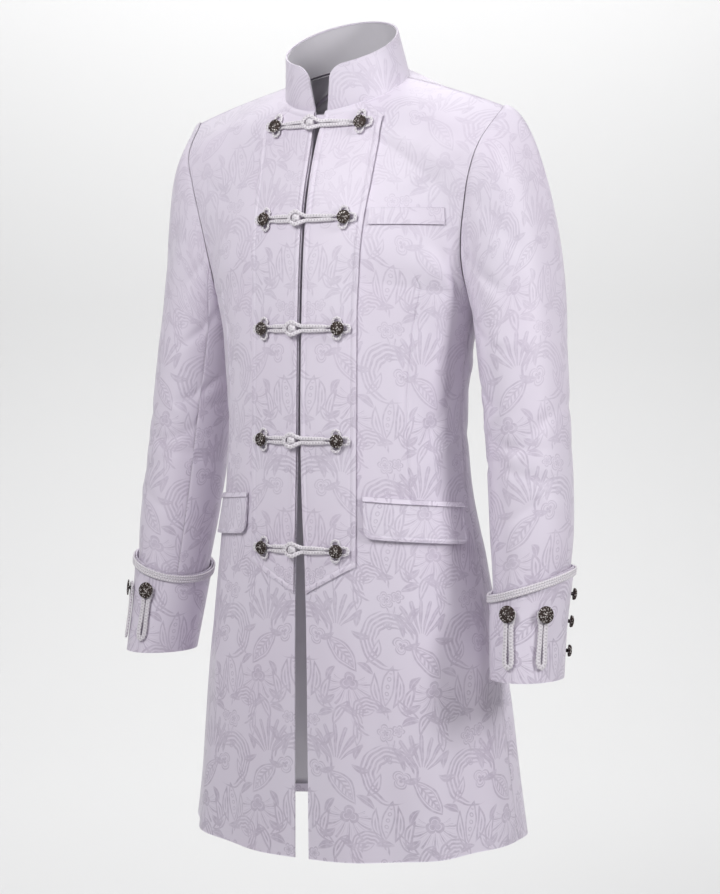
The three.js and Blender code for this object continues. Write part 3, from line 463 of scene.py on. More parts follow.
class Worn:
    """A panel with its creases, as a function of place and height off the cloth."""

    def __init__(self, panel, creases, dart=None):
        self.panel, self.dart = panel, dart
        self.across = np.linspace(0, 1, 41)
        self.down = np.linspace(0, HEM_ROW, 16 * HEM_ROW + 1)
        ga, gd = np.meshgrid(self.across, self.down)
        grid = panel.plain(ga, gd)
        self.map = cloth_uv(grid)
        self.wide = self.map[:, -1, 0] - self.map[:, 0, 0]
        self.creases = []
        for a, d, direction, length, width, depth in creases:
            u, v = self.uv(np.array([a]), np.array([d]))
            self.creases.append((float(u[0]), float(v[0]), direction, length, width, depth))

    def uv(self, across, down):
        x = np.clip(np.asarray(across, float), 0, 1) * (len(self.across) - 1)
        y = np.clip(np.asarray(down, float), 0, HEM_ROW) * 16
        i = np.minimum(x.astype(int), len(self.across) - 2)
        j = np.minimum(y.astype(int), len(self.down) - 2)
        fx, fy = (x - i)[..., None], (y - j)[..., None]
        m = self.map
        got = (m[j, i] * (1 - fx) * (1 - fy) + m[j, i + 1] * fx * (1 - fy)
               + m[j + 1, i] * (1 - fx) * fy + m[j + 1, i + 1] * fx * fy)
        return got[..., 0], got[..., 1]

    def crease(self, across, down):
        wide = np.interp(down, self.down, self.wide)
        fade = soft_step(across * wide / 26) * soft_step((1 - across) * wide / 20) * soft_step(down / 0.8)
        height = crease_field(self.creases, *self.uv(across, down)) * fade
        if self.dart:
            dart = self.dart
            off = (across - dart["across"]) * wide
            along = soft_step((down - dart["start"]) / 0.5) * soft_step((dart["end"] - down) / 0.5)
            height = height - along * dart["deep"] * np.exp(-(off / dart["wide"]) ** 2)
            height = height + along * 0.35 * np.exp(-((abs(off) - 4.5) / 2.6) ** 2)
        return height

    def point(self, across, down, height=0.0):
        across, down = np.broadcast_arrays(np.asarray(across, float), np.asarray(down, float))
        normal = self.panel.normal(across, down)
        lift = self.crease(across, down) + height
        return self.panel.plain(across, down) + normal * lift[..., None], normal


front = Worn(FRONT, FRONT_CREASES, DART)
back = Worn(BACK, BACK_CREASES)


def over_front(x, z, height):
    """Points and normals over the fronts, on either side, at a height off the cloth."""
    x, z, height = np.broadcast_arrays(*(np.asarray(k, float) for k in (x, z, height)))
    edge = between(SLIT_ROWS, z) + 0.05
    size = abs(x)
    across, down = FRONT.at_xz(np.maximum(size, edge), z)
    point, normal = front.point(across, down)
    point, normal = point.copy(), normal.copy()
    inside = size < edge
    point[..., 0] = np.where(inside, size, point[..., 0])
    normal[..., 0] = np.where(inside, 0, normal[..., 0])
    normal /= np.linalg.norm(normal, axis=-1, keepdims=True)
    point = point + normal * height[..., None]
    side = np.where(x < 0, -1.0, 1.0)
    point[..., 0] *= side
    normal[..., 0] *= side
    return point, normal


# Sleeve: place round the arm runs from -7 to 9, with 0 on top of the shoulder

def ring_at(z):
    rows = np.array(SLEEVE_ROWS, float)
    place = np.interp(-np.asarray(z, float), -rows[:, 0], np.arange(len(rows)))
    below = -np.asarray(z, float) + rows[-1, 0]
    place = np.where(below > 0, len(rows) - 1, place)
    return smooth(rows[:, 1:], place)


def ring_point(z, angle, grow=0.0):
    z, angle = np.broadcast_arrays(np.asarray(z, float), np.asarray(angle, float))
    ring = ring_at(z)
    cx, cy, outer, inner, fore, aft = (ring[..., k] for k in range(6))
    c, s = np.cos(np.radians(angle)), np.sin(np.radians(angle))
    reach_x = np.where(c > 0, outer, inner) + grow
    reach_y = np.where(s > 0, fore, aft) + grow
    return np.stack([cx + reach_x * c, cy - reach_y * s, z], -1)


def sleeve_angle(place):
    place = np.asarray(place, float)
    folded = np.where(place > ARMPIT, place - 2 * ARMPIT, place)
    return np.sign(folded) * smooth(SLEEVE_ANGLES, abs(folded)), folded


SLEEVE_TOP = SLEEVE_ROWS[0][0]
ARMHOLE_SHUT = 1.0


def sleeve_grid(places, cap_rows, spacing):
    angle, folded = sleeve_angle(places)
    start = np.where((folded >= 0)[:, None], FRONT.plain(1.0, abs(folded)), BACK.plain(1.0, abs(folded)))
    start = start + np.stack([np.full(len(angle), ARMHOLE_SHUT), np.zeros(len(angle)),
                              ARMHOLE_SHUT * np.cos(np.radians(angle / 2)) ** 4], -1)
    end = ring_point(SLEEVE_TOP, angle)
    high = np.cos(np.radians(angle / 2)) ** 2
    leave = np.stack([0.12 + 0.88 * high ** 0.6, -0.42 * np.sin(np.radians(angle)),
                      -(0.1 + 0.9 * (1 - high))], -1) * (26 + 98 * high)[:, None]
    arrive = ring_point(SLEEVE_TOP - 10, angle) - end
    arrive /= np.linalg.norm(arrive, axis=1, keepdims=True)
    arrive *= np.linalg.norm(start - end, axis=1, keepdims=True) * 1.05
    rows = []
    for f in np.linspace(0, 1, cap_rows, endpoint=False):
        f2, f3 = f * f, f ** 3
        lean = (high * math.sin(math.pi * f))[:, None] * np.array(CAP_LEAN)
        rows.append(start * (2 * f3 - 3 * f2 + 1) + leave * (f3 - 2 * f2 + f)
                    + end * (3 * f2 - 2 * f3) + arrive * (f3 - f2) + lean)
    for z in np.linspace(SLEEVE_TOP, SLEEVE_END, int((SLEEVE_TOP - SLEEVE_END) / spacing) + 1):
        rows.append(ring_point(z, angle))
    return np.array(rows), angle


# Depth and half width of the furrow that a seam presses into the cloth
SEAM_DEEP = 0.5
SEAM_WIDE = 1.6


def furrow(distance):
    return SEAM_DEEP * np.exp(-(distance / SEAM_WIDE) ** 2)


# Pieces

SIDES = (("left", False), ("right", True))
MATERIALS = {}


def finish_piece(obj, look, nodes=(), sheet=None, held="draped", rests=()):
    obj.data.materials.append(MATERIALS[look])
    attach(obj, "root")
    "jacquard" if look == "thread" else look
    if nodes:
        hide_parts(*nodes)
    if sheet is not None:
        list(rests)


def build_sheet(name, grid, thick, nodes, held, rests, shift=(0, 0), look="jacquard", flip=False,
                level_rows=True, outside=-1.0, normals=None):
    """Cloth piece of one grid; flip makes its mirror image."""
    if normals is None:
        normals = grid_normals(grid, outside)
    uv = cloth_uv(grid, level_rows) + np.array(shift, float)
    size = flat_size(grid)
    if flip:
        grid, normals = mirror(grid), mirror(normals)
    points, faces, uvs = wall(grid, normals, uv, thick)
    finish_piece(make_object(name, points, faces, uvs), look, nodes, size, held, rests)


def build_pair(stem, grid, thick, held="draped", rests="", **settings):
    for side, flip in SIDES:
        build_sheet("cloth_%s_%s" % (stem, side), grid, thick, [stem + "_" + side], held,
                    [rests + "_" + side] if rests else (), flip=flip, **settings)


# Where a fan of the pattern stands on the fronts, as x and z
FAN_PLACE = (46.0, -684.0)
PATTERN_SHIFT = [-float(k[0]) for k in front.uv(*FRONT.at_xz([FAN_PLACE[0]], [FAN_PLACE[1]]))]

# Grids of the body: width that the steps are for, step, steps beside the dart, and rows
PANEL_WIDE = 260
CLOTH_STEP = 4.2
DART_STEPS = [-6, -4.5, -3, -1.8, -0.9, 0, 0.9, 1.8, 3, 4.5, 6]
UPPER_ROWS = 78
LOWER_ROWS = 168
# Row where the centre-back seam starts, and the lining's rows and reach across
SPLIT_ROW = 2
YOKE_TOP = 0.12
LINING_TOP = 2.02
LINING_FOOT = 0.156
LINING_ACROSS = 8 / 9


def unit(vectors):
    return vectors / np.linalg.norm(vectors, axis=-1, keepdims=True)


def build_body():
    near_dart = np.array(DART_STEPS) / PANEL_WIDE + DART["across"]
    base = edge_steps(PANEL_WIDE, CLOTH_STEP)
    base = base[(base < near_dart[0] - 0.006) | (base > near_dart[-1] + 0.006)]
    across = np.sort(np.concatenate([base, near_dart]))
    down = np.concatenate([np.linspace(0, ARMPIT, UPPER_ROWS, endpoint=False),
                           np.linspace(ARMPIT, HEM_ROW - 0.05, LOWER_ROWS), [HEM_ROW - 0.015, HEM_ROW]])
    f, b = (worn.point(*np.meshgrid(across, down))[0] for worn in (front, back))
    fn, bn = grid_normals(f, FRONT.outside), grid_normals(b, BACK.outside)
    low = down >= ARMPIT - 1e-6
    split = down >= SPLIT_ROW
    for grid, normals in ((f, fn), (b, bn)):
        side = furrow(run_along(grid[:, ::-1], 1)[:, ::-1])
        press = np.maximum(np.where(low[:, None], side, 0), furrow(run_along(grid)))
        if grid is b:
            press = np.maximum(press, np.where(split[:, None], furrow(run_along(grid, 1)), 0))
        grid -= normals * press[..., None]
    # where two pieces meet, they share their normals
    fn[0] = bn[0] = unit(fn[0] + bn[0])
    fn[low, -1] = bn[low, -1] = unit(fn[low, -1] + bn[low, -1])
    bn[split, 0, 0] = 0
    bn[split, 0] = unit(bn[split, 0])

    def lining_part(start, end):
        cut = np.ix_((down >= start) & (down <= end), across <= LINING_ACROSS)
        return b[cut] - bn[cut] * (CLOTH + LINING_GAP), bn[cut]

    yoke, yoke_n = lining_part(YOKE_TOP, LINING_TOP)
    lining, lining_n = lining_part(LINING_TOP, HEM_ROW - LINING_FOOT)
    for grid in (f, b):
        draw_in(grid, "top", SEAM_GAP / 2)
        draw_in(grid, "last", SEAM_GAP / 2, low)
    draw_in(b, "first", SEAM_GAP / 2)
    build_pair("front", f, CLOTH, shift=PATTERN_SHIFT, normals=fn)
    build_pair("back", b, CLOTH, shift=(0, PATTERN_SHIFT[1]), normals=bn)
    for side, flip in SIDES:
        build_sheet("lining_yoke_" + side, yoke[::2, ::2], LINING, [], "hung", ["back_" + side],
                    look="lining", flip=flip, normals=yoke_n[::2, ::2])
    whole, whole_n = (np.concatenate([mirror(half[:, :0:-1]), half], 1)[::2, ::2]
                      for half in (lining, lining_n))
    build_sheet("lining_back", whole, LINING, ["back_lining"], "hung", ["back_left", "back_right"],
                look="lining", normals=whole_n)


# Length that the collar's steps are for, its height, and its top edge's seam
COLLAR_LONG = 440
COLLAR_TALL = np.linalg.norm(neck_point(NECK, 0.0) - neck_point(COLLAR_TOP, 0.0))
COLLAR_SEAM = 4.2


def rounded(from_end, corner):
    """How far a rounded corner falls short of a square one, at a distance from the end."""
    cut = np.clip(corner - from_end, 0, corner)
    return corner - np.sqrt(corner ** 2 - cut ** 2)


def collar_point(part, level):
    """Places on the collar, by the part of the way round and of the way up."""
    open_angle = COLLAR_BASE_ANGLE + (COLLAR_TOP_ANGLE - COLLAR_BASE_ANGLE) * level
    angle = open_angle + (360 - 2 * open_angle) * part
    low, high = neck_point(NECK, angle), neck_point(COLLAR_TOP, angle)
    return low + (high - low) * level[..., None]


def collar_from_end(part):
    return np.minimum(part, 1 - part) * 2 * math.pi * COLLAR_TOP["depth"]


def collar_grid(inwards, short, spacing):
    part = edge_steps(COLLAR_LONG, spacing, COLLAR_SEAM)
    up = edge_steps(COLLAR_TALL, 3.0, COLLAR_SEAM)[::-1]
    top = 1 - (rounded(collar_from_end(part), COLLAR_CORNER) + short) / COLLAR_TALL
    grid = collar_point(part, top * up[:, None])
    normals = grid_normals(grid, FRONT.outside)
    return grid - normals * inwards, normals


def build_collar():
    grid, normals = collar_grid(0, 0, 4.0)
    build_sheet("cloth_collar", grid, COLLAR_THICK, ["collar"], "stretched",
                ["front_left", "front_right", "back_left", "back_right"], (20, 40), level_rows=False,
                normals=normals)
    inner, inner_n = collar_grid(COLLAR_THICK + SEAM_GAP, 1.5, 6.0)
    draw_in(inner, "first", 1.5)
    draw_in(inner, "last", 1.5)
    build_sheet("lining_collar", inner, LINING, ["collar_lining"], "stretched", ["collar"],
                look="lining", level_rows=False, normals=inner_n)


# Radius that turns angles round the sleeve into distances, and how far off an angle may be
SLEEVE_RADIUS = 54
CREASE_REACH = 60


def press_sleeve(grid, angle):
    """Creases of the sleeve, pressed into a grid whose columns keep their angles."""
    u = np.radians(angle) * SLEEVE_RADIUS * np.ones(grid.shape[:2])
    v = cloth_uv(grid, False)[..., 1]
    height = np.zeros(grid.shape[:2])
    for at, z, *crease in SLEEVE_CREASES:
        for turned in (at - 360, at, at + 360):
            column = abs(angle - turned).argmin()
            if abs(angle[column] - turned) <= CREASE_REACH:
                row = abs(grid[:, column, 2] - z).argmin()
                centre = math.radians(turned) * SLEEVE_RADIUS
                height += crease_field([(centre, v[row, column], *crease)], u, v)
    order = np.arange(len(angle))
    fade = soft_step(run_along(grid) / 22) * soft_step(np.minimum(order, order[::-1]) / 6)
    return grid + grid_normals(grid, 1.0) * (height * fade)[..., None]


def build_sleeves():
    upper = -SLEEVE_SEAM_ROW + 2 * SLEEVE_SEAM_ROW * edge_steps(330, 3.4)
    under = SLEEVE_SEAM_ROW + 4 * edge_steps(130, 3.6)
    for stem, places, shift in (("sleeve_upper", upper, (15, 70)), ("sleeve_under", under, (60, 30))):
        grid, angle = sleeve_grid(places, 48, 3.4)
        grid = press_sleeve(grid, np.where(places > ARMPIT, angle + 360, angle))
        normals = grid_normals(grid, 1.0)
        run = run_along(grid, 1)
        seam = np.minimum(np.minimum(run, run[:, -1:] - run), run_along(grid))
        grid = grid - normals * furrow(seam)[..., None]
        draw_in(grid, "first", SEAM_GAP / 2)
        draw_in(grid, "last", SEAM_GAP / 2)
        build_pair(stem, grid, CLOTH, shift=shift, level_rows=False, normals=normals)


def cuff_top(angle):
    return CUFF["top"] - CUFF["slant"] * np.cos(np.radians(angle - CUFF["lowest"]))


def over_cuff(angle, z, height):
    rise = (z - CUFF["bottom"]) / (CUFF["top"] - CUFF["bottom"])
    return ring_point(z, angle, CUFF["off"] + CLOTH + CUFF["flare"] * rise + height)


def cuff_normal(angle, z):
    e = 1.0
    along = over_cuff(angle + e, z, 0) - over_cuff(angle - e, z, 0)
    up = over_cuff(angle, z + e, 0) - over_cuff(angle, z - e, 0)
    n = unit(np.cross(along, up))
    out = over_cuff(angle, z, 1) - over_cuff(angle, z, 0)
    return n * np.sign((n * out).sum(-1, keepdims=True))


# Width of the puffed border of bib and cuff, and the lengths that their steps are for
BIB_BORDER = 7.0
BIB_WIDE = 74
BIB_LONG = 560
CUFF_BORDER = 6.5


def build_cuffs():
    angle = CUFF["vent"] + 0.7 + (360 - 1.4) * edge_steps(320, 3.6, CUFF_BORDER)
    ga, gd = np.meshgrid(angle, edge_steps(115, 3.4, CUFF_BORDER))
    top = cuff_top(ga)
    ripple = 0.5 * np.sin(np.radians(ga * 3 + 40)) * np.sin(gd * math.pi)
    grid = over_cuff(ga, top + (CUFF["bottom"] - top) * gd, ripple)
    build_pair("cuff", grid, CLOTH, "stretched", "sleeve_upper", shift=(33, 12), level_rows=False,
               outside=1.0)


def bib_top(x):
    seam_x, top_x = BIB["seam_x"], BIB["top_x"]
    angle = np.degrees(np.arcsin(np.minimum(x, seam_x - 0.001) / NECK["width"]))
    seam = neck_point(NECK, angle)[..., 2] - 2.5
    return seam + np.where(x < seam_x, 0, (BIB["top_z"] - seam) * (x - seam_x) / (top_x - seam_x))


def bib_lift(z):
    """How much higher the bib lies near the neck."""
    return BIB["lift"] * np.clip(1 - (BIB["lift_from"] - z) / BIB["lift_over"], 0, 1)


def on_bib(x, z, height):
    return over_front(x, z, LAYER_GAP + BIB["thick"] + bib_lift(z) + height)


def bib_place(t, part):
    """x and z on the bib, from its inner edge out and from its top down."""
    top = bib_top(BIB["inner_x"] + (BIB["top_x"] - BIB["inner_x"]) * t)
    foot = BIB["point_z"] + (BIB["corner_z"] - BIB["point_z"]) * t
    z = top + (foot - top) * part
    inner = between(SLIT_ROWS, z) + BIB["inset"]
    return inner + (between(BIB_ROWS, z) - inner) * t, z


def puffed(edge, middle, wide, high, border, deep):
    """Height of a stuffed border and of the seam beside it, at a distance from the edge."""
    return high * np.exp(-((edge - middle) / wide) ** 2) - deep * np.exp(-((edge - border) / 0.9) ** 2)


def build_bibs():
    gt, gp = np.meshgrid(edge_steps(BIB_WIDE, 4.0, BIB_BORDER), edge_steps(BIB_LONG, CLOTH_STEP, BIB_BORDER))
    edge = np.minimum(np.minimum(gt, 1 - gt) * BIB_WIDE, np.minimum(gp, 1 - gp) * BIB_LONG)
    grid, _ = on_bib(*bib_place(gt, gp), puffed(edge, 3.4, 2.4, 0.8, BIB_BORDER, 0.45))
    build_pair("bib", grid, BIB["thick"], "laid", "front", shift=(48, 33))


def along_front(distance, z, height):
    """Places on the fronts by distance along the cloth from the centre front."""
    distance, z, height = np.broadcast_arrays(*(np.asarray(k, float) for k in (distance, z, height)))
    _, down = FRONT.at_xz(np.full(z.size, 60.0), z.ravel())
    steps = np.linspace(0, 1, 61)
    run = run_along(FRONT.plain(*np.meshgrid(steps, down)), 1)
    across = np.array([np.interp(d, r, steps) for d, r in zip(distance.ravel(), run)])
    point, normal = front.point(across, down, height.ravel())
    return point.reshape(distance.shape + (3,)), normal.reshape(distance.shape + (3,))


# The flap proper below its welt, its height off the front and its slope outwards
FLAP_LONG = FLAP["end"] - FLAP["start"]
FLAP_TALL = FLAP["tall"] - FLAP["welt"]
FLAP_TOP = FLAP["top_z"] - FLAP["welt"] - 0.5
FLAP_OFF = LAYER_GAP + FLAP["thick"] + 0.3
FLAP_SLOPE = 2.2
FLAP_BORDER = 5.0


def flap_grid(top, tall, rows, corner, border):
    gs, gr = np.meshgrid(edge_steps(FLAP_LONG, 3.0, border), rows)
    from_end = np.minimum(gs, 1 - gs) * FLAP_LONG
    rounding = rounded(from_end, corner)
    z = top - FLAP["fall"] * gs - (tall - rounding) * gr
    edge = np.minimum(np.minimum(from_end, gr * tall + 20), (1 - gr) * (tall - rounding) + 0.3 * rounding)
    puff = puffed(edge, 3, 2, 0.5, border, 0.35) if border else 0.0
    return along_front(FLAP["start"] + FLAP_LONG * gs, z, FLAP_OFF + FLAP_SLOPE * gr + puff)[0]


def build_pockets():
    rows = edge_steps(FLAP_TALL, 3.0, FLAP_BORDER)
    flap = flap_grid(FLAP_TOP, FLAP_TALL, rows, FLAP["corner"], FLAP_BORDER)
    build_pair("pocket_flap", flap, FLAP["thick"], "hung", "front", shift=(70, 5))
    welt = flap_grid(FLAP["top_z"], FLAP["welt"], np.linspace(0, 1, 7), 0, 0)
    build_pair("pocket_welt", welt, FLAP["thick"], "laid", "front", shift=(90, 50))
    start, end, tall, thick = (CHEST_WELT[k] for k in ("start", "end", "tall", "thick"))
    gt, gr = np.meshgrid(edge_steps(end - start, 3.0), edge_steps(tall, 2.5))
    chest, _ = over_front(start + (end - start) * gt, CHEST_WELT["z"] - tall * gr, LAYER_GAP + thick)
    build_sheet("cloth_chest_welt", chest, thick, ["chest_welt"], "laid", ["front_left"], (5, 64))
    tab, _ = over_front(*np.meshgrid(np.linspace(-11, 11, 12), np.linspace(-60, -76, 9)), -CLOTH - LAYER_GAP)
    build_sheet("cloth_neck_tab", tab, LINING, ["neck_tab"], "laid", ["front_left", "front_right"], (5, 64))


# Braided cord: spacing of its places, and its height off the fronts

CORD_STEP = 0.62
ON_BIB = LAYER_GAP + BIB["thick"] + 0.4


def closed_curve(points):
    """Centripetal curve round a closed list, with places evenly spaced along it."""
    n = len(points)
    fine = []
    for i in range(n):
        p = [points[(i + k) % n] for k in (-1, 0, 1, 2)]
        t = [0.0]
        for k in range(3):
            t.append(t[-1] + max(np.linalg.norm(p[k + 1][:3] - p[k][:3]), 1e-6) ** 0.5)
        for x in np.linspace(t[1], t[2], 12, endpoint=False):
            a = [(p[k] * (t[k + 1] - x) + p[k + 1] * (x - t[k])) / (t[k + 1] - t[k]) for k in range(3)]
            b = [(a[k] * (t[k + 2] - x) + a[k + 1] * (x - t[k])) / (t[k + 2] - t[k]) for k in range(2)]
            fine.append((b[0] * (t[2] - x) + b[1] * (x - t[1])) / (t[2] - t[1]))
    loop = np.array(fine + fine[:1])
    run = run_along(loop[:, :3])
    at = np.linspace(0, run[-1], max(int(run[-1] / CORD_STEP), 16), endpoint=False)
    path = np.stack([np.interp(at, run, loop[:, k]) for k in range(loop.shape[1])], 1)
    return path[:, :3], path[:, 3:]


def tube_faces(rings, around, closed=False):
    """Faces between rings of points, each joined to the next."""
    i, k = np.meshgrid(np.arange(rings if closed else rings - 1), np.arange(around), indexing="ij")
    j, m = (i + 1) % rings, (k + 1) % around
    corners = (i * around + k, i * around + m, j * around + m, j * around + k)
    return np.stack(corners, -1).reshape(-1, 4).tolist()


def braid_tube(path, normals, wide, tall, closed=True, pitch=3.8, around=16):
    """Flattened plaited cord along a path; its strands cross in a herringbone."""
    count = len(path)
    tangent = np.roll(path, -1, 0) - np.roll(path, 1, 0) if closed else np.gradient(path, axis=0)
    tangent = unit(tangent)
    n = unit(normals - (normals * tangent).sum(1, keepdims=True) * tangent)
    b = np.cross(tangent, n)
    run = run_along(path)
    total = run[-1] + (np.linalg.norm(path[0] - path[-1]) if closed else 0)
    turns = max(round(total / pitch), 1)
    phase, phi = np.meshgrid(run / total * turns * 2 * np.pi, np.arange(around) * 2 * np.pi / around,
                             indexing="ij")
    strand = np.maximum(np.cos(phase + 2 * phi), np.cos(phase - 2 * phi))
    relief = 0.86 + 0.16 * strand
    wide, tall = (np.broadcast_to(size, count)[:, None] for size in (wide, tall))
    points = (path[:, None, :] + b[:, None, :] * (wide / 2 * np.cos(phi) * relief)[..., None]
              + n[:, None, :] * (tall / 2 * np.sin(phi) * relief)[..., None])
    faces = tube_faces(count, around, closed)
    if not closed:
        ends = list(range(around))
        faces += [ends, [(count - 1) * around + k for k in ends[::-1]]]
    return points.reshape(-1, 3), faces, strand.ravel()


def upright(normal):
    """Sideways, upward and outward directions on a surface."""
    axis = unit(np.asarray(normal, float))
    side = unit(np.cross([0, 0, 1.0], axis))
    return side, np.cross(axis, side), axis


def knob(centre, normal, radius, tall, rows=12, around=18):
    """Small plaited knot."""
    side, up, axis = upright(normal)
    lat, lon = np.meshgrid(np.linspace(-math.pi / 2, math.pi / 2, rows + 1),
                           np.arange(around) * 2 * math.pi / around, indexing="ij")
    strands = np.maximum(np.cos(5 * lat + 3 * lon), np.cos(5 * lat - 3 * lon))
    relief = 1 + 0.09 * strands
    r = radius * np.cos(lat) * relief
    points = (centre - side * (r * np.cos(lon))[..., None] + up * (r * np.sin(lon))[..., None]
              + axis * (tall * np.sin(lat) * relief)[..., None])
    return points.reshape(-1, 3), tube_faces(rows + 1, around), strands.ravel()


def join_parts(parts):
    """One vertex and face list from several, with their strands."""
    points, faces, strands, base = [], [], [], 0
    for part_points, part_faces, part_strands in parts:
        points.append(part_points)
        faces += [[base + k for k in face] for face in part_faces]
        strands.append(part_strands)
        base += len(part_points)
    return np.concatenate(points), faces, np.concatenate(strands)


def mirrored(part):
    return mirror(part[0]), [face[::-1] for face in part[1]], part[2]


def relief_piece(name, part, look, nodes, flip=False):
    """Object whose relief is known to its material."""
    points, faces, relief = mirrored(part) if flip else part
    obj = make_object(name, points, faces)
    attribute = obj.data.attributes.new("relief", "FLOAT", "POINT")
    attribute.data.foreach_set("value", relief.astype(np.float32))
    finish_piece(obj, look, nodes)


# Factors that give the plaited cords and knots the breadth of the plain ones they cover
FROG_CORD = (1.1, 0.92)
FROG_THIN = dict(by=0.36, reach=17, over=5)
FROG_KNOB = (1.16, 1.1)
CUFF_CORD = (1.24, 0.7)
# A frog's loop half: x, and then across and up as parts; its knot half: x from the knot, across
LOOP_PATH = [(16, -1, 0), (5, -1, 0), (-0.5, -1.8, 0.5), (-6.5, -FROG["loop"] / FROG["pitch"] * 2, 0.85),
             (-12.8, -1.5, 1), (-14.6, 0, 1)]
KNOT_PATH = [(-25.5, -1), (-13.5, -1), (-3, -0.9), (0, 0)]


def there_and_back(path):
    """A path and its way back on the other side of the middle, which its last place lies on."""
    return path + [(x, -t, *rest) for x, t, *rest in path[-2::-1]]


def frog_half(side, button_x, z):
    half = FROG["pitch"] / 2
    places = [(side * (button_x + s), z + t, 0.0) for s, t in there_and_back(CLOVER + [(13.4, 0)])]
    if side > 0:
        places += [(x, z + t * half, FROG["lift"] * up) for x, t, up in there_and_back(LOOP_PATH)]
    else:
        places += [(FROG["knot_x"] + x, z + t * half, 0.0) for x, t in there_and_back(KNOT_PATH)]
    places = np.array(places)
    low = ON_BIB + bib_lift(z)
    points, normals = over_front(places[:, 0], places[:, 1], low + FROG["cord"] / 2 + places[:, 2])
    path, normals = closed_curve(np.concatenate([points, normals], 1))
    reach = np.hypot(abs(path[:, 0]) - button_x, path[:, 2] - z)
    thin = FROG["cord"] * (1 - FROG_THIN["by"] * soft_step((FROG_THIN["reach"] - reach) / FROG_THIN["over"]))
    parts = [braid_tube(path, normals, thin * FROG_CORD[0], thin * FROG_CORD[1])]
    if side < 0:
        at, normal = over_front(FROG["knot_x"], z, low + FROG["knot"] + 0.6)
        parts.append(knob(at, normal, FROG["knot"] * FROG_KNOB[0], FROG["knot"] * FROG_KNOB[1]))
    return join_parts(parts)


def build_frogs():
    for k, (z, x) in enumerate(zip(FROG_HEIGHTS, FROG_BUTTON_X)):
        for side, stem in ((1, "frog_loop"), (-1, "frog_knot")):
            node = "%s_%d" % (stem, k + 1)
            relief_piece("braid_" + node, frog_half(side, x, z), "braid", [node])


def cuff_loop(angle):
    ring = ring_at(np.array(float(CUFF_BUTTON_Z)))
    per_degree = math.radians(1) * math.hypot(ring[2] * math.sin(math.radians(angle)),
                                              ring[4] * math.cos(math.radians(angle)))
    half, long = CUFF_LOOP["pitch"] / 2, CUFF_LOOP["long"]
    shape = [(-5.4, 2), (-half - 1.4, -6), (-half, -13), (-half, -30), (-half, -long + 4), (0, -long + 1),
             (half, -long + 4), (half, -30), (half, -13), (half + 1.4, -6), (5.4, 2), (0, 6)]
    angles = np.array([angle - across / per_degree for across, _ in shape])
    heights = np.array([CUFF_BUTTON_Z + up for _, up in shape], float)
    cord = CUFF_LOOP["cord"]
    points = over_cuff(angles, heights, cord / 2 + 0.5)
    path, normals = closed_curve(np.concatenate([points, cuff_normal(angles, heights)], 1))
    return braid_tube(path, normals, cord * CUFF_CORD[0], cord * CUFF_CORD[1])


def build_cuff_braids():
    """Three plaited cords side by side along the cuff's upper edge."""
    angle = np.arange(CUFF["vent"] + 1.2, CUFF["vent"] + 358.8, 0.75)
    tall, thick = CUFF_BRAID["tall"], CUFF_BRAID["thick"]
    parts = []
    for row in range(3):
        z = cuff_top(angle) - 1 - tall * (row + 0.5) / 3
        points = over_cuff(angle, z, SEAM_GAP + 0.2 + thick / 2)
        parts.append(braid_tube(points, cuff_normal(angle, z), tall * 0.4, thick * 0.95, closed=False,
                                pitch=3.4, around=12))
    for side, flip in SIDES:
        relief_piece("braid_cuff_" + side, join_parts(parts), "braid", ["cuff_braid_" + side], flip)


# Buttons

# Points round a button, rings of its dome, and radius of its shank
BUTTON_AROUND = 72
BUTTON_RINGS = 22
SHANK = 2.2


def button_mesh(radius, tall, seat, petals):
    """Domed button with a pressed flower, a ring of beads and a shank."""
    cap = tall - seat
    a = np.arange(BUTTON_AROUND) * 2 * math.pi / BUTTON_AROUND
    f = np.linspace(0, 1, BUTTON_RINGS)[:, None]
    spiral = np.cos(petals * a + 7.5 * math.pi * f) * np.cos(petals * a - 7.5 * math.pi * f)
    scrolls = np.maximum(spiral, 0) ** 0.6 * np.minimum(f / 0.14, 1) * (f < 0.86)
    rim = np.exp(-((f - 0.95) / 0.05) ** 2) * (0.7 + 0.3 * np.cos(30 * a))
    bud = np.exp(-(f / 0.1) ** 2)
    high = 0.42 * bud + 0.5 * scrolls + 0.4 * rim - 0.25
    dome = cap * 0.62 * np.cos(f * math.pi / 2) ** 0.85 + cap * 0.34
    skirt = np.array([(radius, seat + cap * 0.2), (radius * 0.96, seat + 0.2), (radius * 0.5, seat),
                      (SHANK, seat), (SHANK, 0)])
    flat = np.ones((len(skirt), BUTTON_AROUND))
    r = np.concatenate([radius * np.sin(f * math.pi / 2) ** 0.9, skirt[:, :1]])
    z = np.concatenate([seat + dome + high * cap / 4, skirt[:, 1:] * flat])
    points = np.stack([r * np.cos(a), r * np.sin(a), z], -1).reshape(-1, 3)
    rows = len(r)
    faces = [[face[0], *face[:0:-1]] for face in tube_faces(rows, BUTTON_AROUND)]
    faces.append([(rows - 1) * BUTTON_AROUND + k for k in reversed(range(BUTTON_AROUND))])
    return points, faces, np.concatenate([high, -0.2 * flat]).ravel()


def place_button(name, kind, seat, place, petals, turn):
    """Button on a point and normal, turned about its own axis."""
    points, faces, relief = button_mesh(*BUTTONS[kind], seat, petals)
    side, up, axis = upright(place[1])
    c, s = math.cos(turn), math.sin(turn)
    x, y, out = points.T[..., None]
    placed = place[0] + (x * c - y * s) * side + (x * s + y * c) * up + out * axis
    relief_piece("metal_" + name, (placed, faces, relief), "pewter", [name])


FROG_SEAT = FROG["cord"] + 0.6
CUFF_SEAT = CUFF_LOOP["cord"] + 0.8
VENT_SEAT = 2.4


